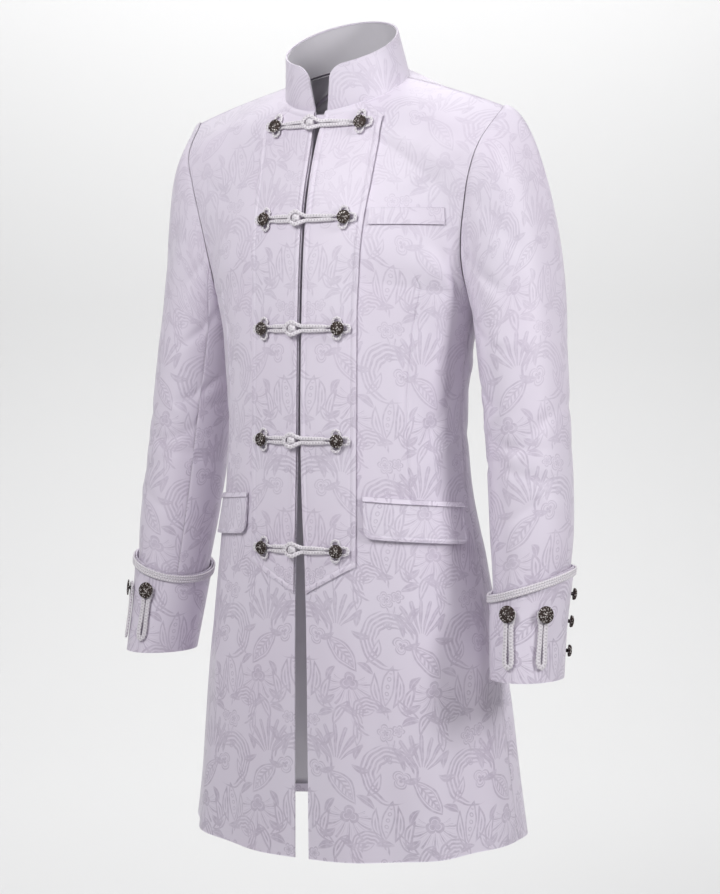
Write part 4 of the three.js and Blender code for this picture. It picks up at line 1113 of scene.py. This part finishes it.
def build_buttons():
    for k, (z, x) in enumerate(zip(FROG_HEIGHTS, FROG_BUTTON_X)):
        for side, name in ((1, "left"), (-1, "right")):
            place_button("front_button_%s_%d" % (name, k + 1), "front", FROG_SEAT,
                         over_front(side * x, z, ON_BIB + bib_lift(z)), 7, 0.5 * k + side)

    def on_cuff(angle, z, flip):
        angle, z = float(angle), float(z)
        place = over_cuff(angle, z, 0.4), cuff_normal(angle, z)
        return [mirror(k) for k in place] if flip else place

    for name, flip in SIDES:
        for k, angle in enumerate(CUFF_BUTTON_ANGLES):
            node = "cuff_loop_%s_%d" % (name, k + 1)
            relief_piece("braid_" + node, cuff_loop(angle), "braid", [node], flip)
            place_button("cuff_button_%s_%d" % (name, k + 1), "cuff", CUFF_SEAT,
                         on_cuff(angle, CUFF_BUTTON_Z, flip), 8, 0.8 * k)
        for k, z in enumerate(VENT_HEIGHTS):
            place_button("vent_button_%s_%d" % (name, k + 1), "vent", VENT_SEAT,
                         on_cuff(VENT_ANGLE, z, flip), 6, 0.6 * k)


# Stitches: spacing and size of one thread, how deep it sits, and its six corners' faces
STITCH = dict(pitch=3.0, long=2.1, wide=0.6, tall=0.28, ends=0.15, foot=0.3)
STITCH_FACES = [(0, 2, 4), (2, 1, 4), (1, 3, 4), (3, 0, 4), (2, 0, 5), (1, 2, 5), (3, 1, 5), (0, 3, 5)]
HEM_SEAM = 22 / 90
CUFF_SEAM = 16.0
COLLAR_INSET = 4.4


def stitch_row(line):
    """Small raised threads along a line of points with their normals."""
    points, normals = line
    run = run_along(points)
    pitch, long = STITCH["pitch"], STITCH["long"]
    start = np.arange(int(run[-1] / pitch)) * pitch

    def at(values, place):
        return np.stack([np.interp(place, run, values[:, j]) for j in range(3)], -1)

    a, b = at(points, start + (pitch - long) / 2), at(points, start + (pitch + long) / 2)
    n = at(normals, start + pitch / 2)
    centre = (a + b) / 2
    side = unit(np.cross(b - a, n)) * STITCH["wide"] / 2
    sunk = n * STITCH["ends"]
    corners = np.stack([a - sunk, b - sunk, centre + side, centre - side, centre + n * STITCH["tall"],
                        centre - n * STITCH["foot"]], 1).reshape(-1, 3)
    faces = np.array(STITCH_FACES) + 6 * np.arange(len(start))[:, None, None]
    return corners, faces.reshape(-1, 3).tolist(), np.zeros(len(corners))


def stitch_piece(name, parts):
    points, faces, _ = join_parts(parts)
    finish_piece(make_object(name, points, faces, smooth_shade=False), "thread")


def bib_stitches():
    t_in, p_in = BIB_BORDER / BIB_WIDE, BIB_BORDER / BIB_LONG
    long, short = np.linspace(p_in, 1 - p_in, 180), np.linspace(t_in, 1 - t_in, 30)
    for t, part in ((t_in, long), (1 - t_in, long), (short, p_in), (short, 1 - p_in)):
        yield on_bib(*bib_place(*np.broadcast_arrays(t, part)), -0.3)


def flap_stitches():
    inset = FLAP_BORDER / FLAP_LONG
    corner = FLAP["corner"] - FLAP_BORDER
    gs = np.linspace(inset, 1 - inset, 60)
    rounding = rounded(np.minimum(gs, 1 - gs) * FLAP_LONG - FLAP_BORDER, corner)
    z = FLAP_TOP - FLAP["fall"] * gs - (FLAP_TALL - FLAP_BORDER - rounding)
    yield along_front(FLAP["start"] + FLAP_LONG * gs, z, FLAP_OFF + 1.8)
    drop = np.linspace(2, FLAP_TALL - FLAP_BORDER - corner, 14)
    for end in (inset, 1 - inset):
        yield along_front(FLAP["start"] + FLAP_LONG * end, FLAP_TOP - FLAP["fall"] * end - drop,
                          FLAP_OFF + FLAP_SLOPE * drop / FLAP_TALL - 0.1)


def welt_stitches():
    x = np.linspace(CHEST_WELT["start"] + 2, CHEST_WELT["end"] - 2, 30)
    for drop in (2, CHEST_WELT["tall"] - 2):
        yield over_front(x, CHEST_WELT["z"] - drop, LAYER_GAP + CHEST_WELT["thick"])


def collar_stitches():
    def line(part, level):
        point = collar_point(part, level)
        out = unit(point * (1, 1, 0) + (0, 2.0, 0))
        return point + out * 0.1, out

    end = COLLAR_INSET / COLLAR_LONG
    part = np.linspace(end, 1 - end, 260)
    rounding = rounded(collar_from_end(part) - COLLAR_SEAM, COLLAR_CORNER - COLLAR_SEAM)
    level = 1 - (rounding + COLLAR_SEAM) / COLLAR_TALL
    level[0] = level[-1] = level[1]
    yield line(part, level)
    for end in (end, 1 - end):
        yield line(end, np.linspace(0.12, float(level[2]), 20))


def build_stitches():
    both = [stitch_row(line) for line in (*bib_stitches(), *flap_stitches())]
    left = [stitch_row(line) for line in welt_stitches()]
    stitch_piece("stitches_front_left", both + left)
    stitch_piece("stitches_front_right", [mirrored(part) for part in both])
    parts = []
    across = np.linspace(0.02, 0.985, 120)
    angle = np.linspace(CUFF["vent"] + 2, CUFF["vent"] + 358, 240)
    z = cuff_top(angle) - CUFF_SEAM
    for worn in (front, back):
        row = stitch_row(worn.point(across, HEM_ROW - HEM_SEAM, 0.05))
        parts += [row, mirrored(row)]
    parts += [stitch_row(line) for line in collar_stitches()]
    row = stitch_row((over_cuff(angle, z, 0.1), cuff_normal(angle, z)))
    stitch_piece("stitches_edges", parts + [row, mirrored(row)])


# Materials

class Graph:
    """Short names for the nodes of one material."""

    SOCKETS = dict(colour="Base Color", rough="Roughness", metal="Metallic", normal="Normal",
                   sheen="Sheen Weight", sheen_rough="Sheen Roughness", specular="Specular IOR Level")

    def __init__(self, name):
        self.material = MATERIALS[name] = bpy.data.materials.new("look_" + name)
        self.material.use_nodes = True
        self.tree = self.material.node_tree
        self.tree.nodes.clear()
        self.shader = self.node("ShaderNodeBsdfPrincipled")
        output = self.node("ShaderNodeOutputMaterial")
        self.tree.links.new(self.shader.outputs[0], output.inputs["Surface"])

    def node(self, kind, values=None, **settings):
        """A node with its settings, and its inputs by name or number."""
        made = self.tree.nodes.new(kind)
        for key, value in settings.items():
            setattr(made, key, value)
        for key, value in (values or {}).items():
            if isinstance(value, bpy.types.NodeSocket):
                self.tree.links.new(value, made.inputs[key])
            else:
                made.inputs[key].default_value = value
        return made

    def math(self, operation, *values, clamp=False):
        return self.node("ShaderNodeMath", dict(enumerate(values)), operation=operation,
                         use_clamp=clamp).outputs[0]

    def add(self, a, b, **settings):
        return self.math("ADD", a, b, **settings)

    def sub(self, a, b):
        return self.math("SUBTRACT", a, b)

    def mul(self, a, b):
        return self.math("MULTIPLY", a, b)

    def line(self, a, slope, start, clamp=False):
        """A value times a slope, added to a start."""
        return self.math("MULTIPLY_ADD", a, slope, start, clamp=clamp)

    def most(self, *values):
        total = values[0]
        for value in values[1:]:
            total = self.math("MAXIMUM", total, value)
        return total

    def size(self, a):
        return self.math("ABSOLUTE", a)

    def cosine(self, a):
        return self.math("COSINE", a)

    def vector(self, operation, *values):
        n = self.node("ShaderNodeVectorMath", dict(enumerate(values)), operation=operation)
        return n.outputs["Value" if operation == "LENGTH" else 0]

    def length(self, vector):
        return self.vector("LENGTH", vector)

    def parts(self, vector):
        return self.node("ShaderNodeSeparateXYZ", {0: vector}).outputs[:3]

    def whole(self, x, y):
        return self.node("ShaderNodeCombineXYZ", {0: x, 1: y}).outputs[0]

    def mix(self, factor, a, b):
        a, b = (value if isinstance(value, bpy.types.NodeSocket) else (*value, 1.0) for value in (a, b))
        return self.node("ShaderNodeMix", {"Factor": factor, 6: a, 7: b}, data_type="RGBA").outputs[2]

    def noise(self, vector, scale, detail, output="Fac"):
        return self.node("ShaderNodeTexNoise", {"Vector": vector, "Scale": scale, "Detail": detail}
                         ).outputs[output]

    def bump(self, height, strength, distance):
        return self.node("ShaderNodeBump", {"Strength": strength, "Distance": distance, "Height": height}
                         ).outputs[0]

    def cloth_place(self):
        return self.node("ShaderNodeUVMap", uv_map="cloth").outputs[0]

    def place(self):
        return self.node("ShaderNodeTexCoord").outputs["Object"]

    def relief(self):
        return self.node("ShaderNodeAttribute", attribute_name="relief").outputs["Fac"]

    def set(self, **values):
        for key, value in values.items():
            socket = self.shader.inputs[self.SOCKETS[key]]
            if isinstance(value, bpy.types.NodeSocket):
                self.tree.links.new(value, socket)
            else:
                socket.default_value = (*value, 1.0) if isinstance(value, tuple) else value


# The woven pattern's repeat and its figures, in millimetres from the foot of the fan
REPEAT = (104.0, 160.0)
# Leaves: kind, centre, turn, half length, half width, bend
LEAVES = [
    ("veined", 9, -25, -46, 27, 12, 0.10),
    ("dotted", 64, -58, 80, 25, 8, 0.12),
    ("banded", 79, -62, 84, 25, 7, -0.45),
    ("banded", 49, -66, 104, 22, 5.5, 0.45),
    ("solid", -11, -9, 200, 12, 4.0, 0.35),
    ("solid", 31, -3, -8, 13, 4.2, -0.4),
    ("solid", 27, 20, 68, 12, 4.2, 0.3),
    ("solid", -24, 14, 112, 12, 3.8, -0.35),
    ("solid", 38, -38, -30, 12, 4.6, 0.35),
    ("banded", 50, -20, -120, 17, 5.0, 0.4),
    ("solid", 94, 30, 55, 12, 4.4, 0.4),
    ("solid", -14, 62, 20, 12, 4.4, 0.35),
    ("solid", 16, 68, 150, 12, 4.2, -0.35),
    ("solid", 94, -84, 30, 12, 4.2, -0.3),
    ("solid", -9, -50, 60, 11, 4.0, 0.35),
    ("banded", 36, -94, 10, 14, 4.6, -0.35),
    ("banded", 4, 64, 60, 20, 6.5, 0.4),
    ("banded", 86, 74, -40, 17, 5.5, -0.4),
    ("solid", 60, 73, 10, 11, 4.0, 0.3),
    ("banded", -15, -72, 75, 20, 6.0, 0.4),
    ("banded", 27, 42, 100, 15, 5.0, -0.3),
]
# Fans of petals: foot, way, first and last radius, spread, petals, curl, and whether the petals are striped
FANS = [
    (0, 0, 90, 9.0, 49.0, 56.0, 7, 0.15, False),
    (17, -58, -90, 10.0, 36.0, 112.0, 8, 0.35, True),
    (66, 18, 40, 7.0, 22.0, 70.0, 5, 0.4, True),
]
# Crescents of bands: centre, radius, centre and radius of what they leave free, pitch, the bands' own centre
CRESCENTS = [
    ((66, -4), 36.0, (74, -13), 24.5, 5.2, (2, 1)),
    ((42, 62), 24.0, (50, 54), 16.5, 4.4, (1, 1)),
]
# Lobed flowers: kind, centre, size, lobes, turn
FLOWERS = [
    ("solid", 17, -59, 11.5, 3, 90),
    ("ringed", 80, -8, 12.0, 3, 20),
    ("ringed", 61, 45, 11.0, 5, 30),
    ("ringed", 76, 49, 8.0, 5, 0),
    ("solid", 64, 14, 5.5, 3, 60),
]


def jacquard_ink(g, place):
    """How much of the darker woven figure shows at a place on the cloth, from 0 to 1."""
    inks = []

    def about(x, y, turn=0.0, scale=(1.0, 1.0)):
        """The place as seen from a figure that stands at x and y in every repeat."""
        wide, tall = REPEAT[0] / 2, REPEAT[1] / 2
        wrapped = g.node("ShaderNodeVectorMath", {0: place, 1: (x + wide, y + tall, 1.0),
                                                  2: (x - wide, y - tall, -1.0)}, operation="WRAP")
        return g.node("ShaderNodeMapping", {
            0: wrapped.outputs[0], "Location": (x, y, 0), "Rotation": (0, 0, math.radians(turn)),
            "Scale": (*scale, 1)}, vector_type="TEXTURE").outputs[0]

    def inside(f, soft=0.9, at=0.0):
        """One where the field is under a value, with a soft edge."""
        return g.line(f, -1.0 / soft, at / soft + 0.5, clamp=True)

    def band(f, at, half, soft=0.7):
        return g.line(g.size(g.sub(f, at)), -1.0 / soft, half / soft + 0.5, clamp=True)

    def waves(phase, share=0.1):
        """Bands from a phase in turns."""
        return g.line(g.cosine(g.mul(phase, 2 * math.pi)), 1.4, 0.5 + share, clamp=True)

    for kind, x, y, turn, long, wide, bend in LEAVES:
        lx, ly, _ = g.parts(about(x, y, turn, (long, wide)))
        square = g.mul(lx, lx)
        bent = g.line(square, bend * 2, ly)
        f = g.mul(g.sub(g.add(g.size(bent), square), 1.0), wide * 0.8)
        if kind == "solid":
            ink = g.mul(inside(f), g.sub(1.0, band(bent, 0.0, 0.06, 0.2)))
        elif kind == "banded":
            ink = g.mul(waves(g.math("DIVIDE", g.add(f, wide * 0.8), 3.7), 0.15), inside(f))
        elif kind == "veined":
            slant = g.line(g.size(bent), -1.6, g.mul(lx, long / 6.2))
            ribs = g.mul(waves(slant, -0.15), inside(f, 0.8, -4.4))
            edge = g.most(band(f, -0.9, 0.9), band(f, -3.6, 0.45))
            ink = g.most(ribs, edge, g.mul(band(bent, 0.0, 0.09, 0.12), inside(f, 0.8, -3.6)))
        else:
            step = g.sub(g.math("FRACT", g.line(lx, long / 8.5, 0.5)), 0.5)
            dots = g.length(g.whole(g.mul(step, 8.5), g.mul(bent, wide)))
            ink = g.most(g.mul(band(dots, 2.1, 0.6), inside(f, 0.8, -2.6)), band(f, -0.8, 0.8))
        inks.append(ink)
    for x, y, way, first, last, spread, petals, curl, striped in FANS:
        middle, half = math.radians(way), last / 2
        px, py, _ = g.parts(about(x + half * math.cos(middle), y + half * math.sin(middle), way - 90))
        py = g.add(py, half)
        r = g.length(g.whole(px, py))
        share = g.math("DIVIDE", r, last)
        angle = g.mul(g.math("ARCTAN2", px, py), g.line(share, -curl, 1 + curl * 0.6))
        turn = g.mul(angle, 180 / math.pi * petals / (2 * spread))
        off = g.size(g.math("SINE", g.mul(turn, math.pi)))
        tip = g.line(g.cosine(g.mul(turn, 2 * math.pi)), 3.4, last - 4.0)
        tip = g.mul(tip, g.cosine(g.mul(angle, 0.5)))
        within = g.mul(inside(g.sub(r, tip)), inside(g.sub(first, r)))
        within = g.mul(within, g.math("LESS_THAN", g.size(angle), math.radians(spread)))
        bulge = g.math("SQRT", g.most(g.mul(share, g.line(share, -3.4, 3.6)), 0.0))
        petal = g.line(g.line(bulge, -0.82, off), -6.0, 0.5, clamp=True)
        shade = waves(g.mul(turn, 3.0), 0.2) if striped else g.line(band(off, 0.0, 0.12, 0.12), -0.6, 1.0)
        inks.append(g.mul(within, g.mul(petal, shade)))
    for (x, y), radius, (hx, hy), hole, pitch, (ox, oy) in CRESCENTS:
        p = about(x, y)
        free = g.length(g.vector("SUBTRACT", p, (hx - x, hy - y, 0.0)))
        centre = g.length(g.vector("SUBTRACT", p, (ox, oy, 0.0)))
        area = g.mul(inside(g.sub(g.length(p), radius)), inside(g.sub(hole, free)))
        ripple = g.math("SINE", g.mul(g.math("ARCTAN2", *g.parts(p)[:2]), 9.0))
        inks.append(g.mul(area, waves(g.math("DIVIDE", g.line(ripple, 0.5, centre), pitch), 0.15)))
    for kind, x, y, size, lobes, turn in FLOWERS:
        p = about(x, y, turn)
        px, py, _ = g.parts(p)
        lobe = g.math("POWER", g.size(g.cosine(g.mul(g.math("ARCTAN2", py, px), lobes / 2))), 0.5)
        f = g.sub(g.length(p), g.line(lobe, size * 0.5, size * 0.5))
        if kind == "solid":
            inks.append(g.mul(inside(f), g.sub(1.0, band(f, -size * 0.36, 0.5))))
        else:
            inks.append(g.most(band(f, -0.9, 0.8), band(f, -3.9, 0.6), inside(f, 0.8, -size * 0.62)))
    return g.most(*inks)


# Colours, most of them as a pair that a noise mixes
GROUND = (0.745, 0.692, 0.79)
FIGURE = (0.50, 0.443, 0.545)
ROSY = (0.95, 0.86, 0.93)
LINING_COLOURS = (0.58, 0.56, 0.60), (0.66, 0.64, 0.68)
BRAID_COLOURS = (0.80, 0.765, 0.80), (0.72, 0.685, 0.73)
# painted shade: the colour of the braid's grooves between its strands
BRAID_GROOVE_SHADE = (0.56, 0.52, 0.57)
THREAD_COLOUR = (0.66, 0.62, 0.71)
PEWTER_COLOURS = (0.05, 0.036, 0.033), (0.80, 0.75, 0.73)
PAPER = (0.72, 0.72, 0.72)


def jacquard_material():
    g = Graph("jacquard")
    uv = g.cloth_place()
    # the figures wander a little, as woven ones do
    wander = g.vector("SUBTRACT", g.noise(uv, 30.0, 1.0, "Color"), (0.5, 0.5, 0.5))
    place = g.vector("ADD", g.vector("MULTIPLY", uv, (1000.0, 1000.0, 0.0)),
                     g.vector("MULTIPLY", wander, (7.0, 7.0, 0.0)))
    ink = jacquard_ink(g, place)
    fine = g.noise(uv, 1100.0, 1.0)
    # stronger in clouds and towards the hem: fainter towards the top as painted highlight, where light
    # washes the figure out; and broken up in patches of painted sheen, where the satin shines
    cloud = g.line(g.noise(uv, 13.0, 3.0), 1.1, 0.3, clamp=True)
    # painted highlight: the figure is half as strong at the top of the coat as at the hem
    low = g.line(g.parts(g.place())[2], -1.6, -0.2, clamp=True)
    # painted sheen: noise patches where the figure fades, as if the satin shone there
    worn = g.line(g.noise(uv, 150.0, 2.0), 1.4, 0.1, clamp=True)
    amount = g.mul(ink, g.mul(g.mul(cloud, g.line(low, 0.5, 0.5)), worn))
    amount = g.line(g.sub(fine, 0.5), 0.22, amount, clamp=True)
    hue = g.line(g.noise(uv, 7.0, 2.0), 1.6, -0.5, clamp=True)
    rosy = tuple(a * b for a, b in zip(GROUND, ROSY))
    colour = g.mix(g.mul(hue, 0.35), g.mix(amount, GROUND, FIGURE), rosy)
    weave = g.node("ShaderNodeTexWave", {"Vector": uv, "Scale": 420.0, "Distortion": 1.5},
                   wave_type="BANDS", bands_direction="DIAGONAL").outputs["Fac"]
    height = g.add(g.mul(weave, 0.35), g.mul(fine, 0.65))
    g.set(colour=colour, rough=g.line(ink, -0.1, 0.5), normal=g.bump(height, 0.22, 0.0006), sheen=0.3,
          sheen_rough=0.4, specular=0.4)


def build_materials():
    jacquard_material()
    g = Graph("lining")
    uv = g.cloth_place()
    g.set(colour=g.mix(g.noise(uv, 20.0, 2.0), *LINING_COLOURS), rough=0.38,
          normal=g.bump(g.noise(uv, 1400.0, 1.0), 0.1, 0.0004), specular=0.5, sheen=0.1)
    g = Graph("braid")
    place = g.place()
    worn = g.mix(g.noise(place, 120.0, 2.0), *BRAID_COLOURS)
    # painted shade: where the relief is low, between the plaited strands, the braid is painted darker
    colour = g.mix(g.line(g.relief(), 1.1, 0.35, clamp=True), BRAID_GROOVE_SHADE, worn)
    g.set(colour=colour, rough=0.6, normal=g.bump(g.noise(place, 1600.0, 2.0), 0.35, 0.0006), sheen=0.3,
          specular=0.35)
    Graph("thread").set(colour=THREAD_COLOUR, rough=0.6, specular=0.35)
    g = Graph("pewter")
    place = g.place()
    cells = g.node("ShaderNodeTexVoronoi", {"Vector": place, "Scale": 430.0}).outputs["Distance"]
    height = g.line(g.relief(), 1.2, g.line(g.noise(place, 420.0, 3.0), 0.3, -0.2))
    height = g.add(height, g.line(cells, -2.6, 1.35, clamp=True), clamp=True)
    g.set(colour=g.mix(height, *PEWTER_COLOURS), rough=g.line(height, -0.3, 0.6), metal=0.9,
          normal=g.bump(height, 0.5, 0.0007))
    Graph("paper").set(colour=PAPER, rough=0.9, specular=0.2)


# Room, light and camera, in metres from here on

# The camera: how far it stands round from the front, its distance and height, its focal length
# and the point it faces in the photo's pixels, and the photo's size
VIEW_ANGLE = math.radians(28)
VIEW_FAR = 2.6
EYE_Z = -0.34
PHOTO_FOCAL = 2080.0
PHOTO_FACES = (345, 342)
PHOTO_SIZE = (720.0, 894.0)
SENSOR = 36.0

FLOOR_Z = -1.42
WALL_Y = 4.2
WALL_TOP = 3.2
ROOM_ROUND = 1.2
CHEST = (0, 0, -0.2)


def from_view(right, towards, up):
    """A place given from the camera's side: to its right, towards it and up."""
    s, c = math.sin(VIEW_ANGLE), math.cos(VIEW_ANGLE)
    return (right * c + towards * s, right * s - towards * c, up)


def add_object(name, data):
    obj = bpy.data.objects.new(name, data)
    bpy.context.scene.collection.objects.link(obj)
    return obj


def build_room():
    """Floor that bends up into a wall behind the coat."""
    profile = [(-4.0, FLOOR_Z), (WALL_Y - ROOM_ROUND, FLOOR_Z)]
    for a in np.linspace(0, math.pi / 2, 13)[1:]:
        profile.append((WALL_Y - ROOM_ROUND + ROOM_ROUND * math.sin(a),
                        FLOOR_Z + ROOM_ROUND - ROOM_ROUND * math.cos(a)))
    profile.append((WALL_Y, WALL_TOP))
    points = [from_view(x, -y, z) for y, z in profile for x in (-5.0, 5.0)]
    mesh = bpy.data.meshes.new("room")
    mesh.from_pydata(points, [], [(k, k + 1, k + 3, k + 2) for k in range(0, len(points) - 2, 2)])
    mesh.polygons.foreach_set("use_smooth", [True] * len(mesh.polygons))
    mesh.materials.append(MATERIALS["paper"])
    add_object("room", mesh)


def area_light(name, place, target, size, power):
    data = bpy.data.lights.new(name, "AREA")
    data.shape = "RECTANGLE"
    data.size, data.size_y = size
    data.energy = power
    obj = add_object(name, data)
    obj.location = place
    obj.rotation_euler = (Vector(target) - Vector(place)).to_track_quat("-Z", "Y").to_euler()


def build_light():
    world = bpy.data.worlds.new("studio")
    bpy.context.scene.world = world
    world.use_nodes = True
    background = world.node_tree.nodes["Background"]
    background.inputs["Color"].default_value = (0.98, 0.98, 1.0, 1.0)
    background.inputs["Strength"].default_value = 0.23
    bpy.context.scene.view_settings.view_transform = "Standard"
    area_light("key_left", from_view(-1.0, 1.4, 0.7), CHEST, (0.8, 0.8), 24.5)
    area_light("key_right", from_view(1.75, 1.2, 0.5), CHEST, (0.5, 0.8), 26)
    area_light("top", from_view(0.0, 0.7, 1.8), CHEST, (1.4, 0.8), 2)
    area_light("backdrop", from_view(0, -2.0, 2.9), from_view(0, -WALL_Y, -0.9), (4.6, 1.2), 168)


def build_camera():
    data = bpy.data.cameras.new("camera")
    wide, tall = PHOTO_SIZE
    data.sensor_width = SENSOR
    data.lens = PHOTO_FOCAL / tall * SENSOR
    data.shift_x = (wide / 2 - PHOTO_FACES[0]) / tall
    data.shift_y = (PHOTO_FACES[1] - tall / 2) / tall
    camera = add_object("camera", data)
    camera.location = from_view(0, VIEW_FAR, EYE_Z)
    camera.rotation_euler = (math.pi / 2, 0, VIEW_ANGLE)
    bpy.context.scene.camera = camera


build_materials()
build_body()
build_collar()
build_sleeves()
build_cuffs()
build_bibs()
build_pockets()
build_frogs()
build_cuff_braids()
build_buttons()
build_stitches()
build_room()
build_light()
build_camera()
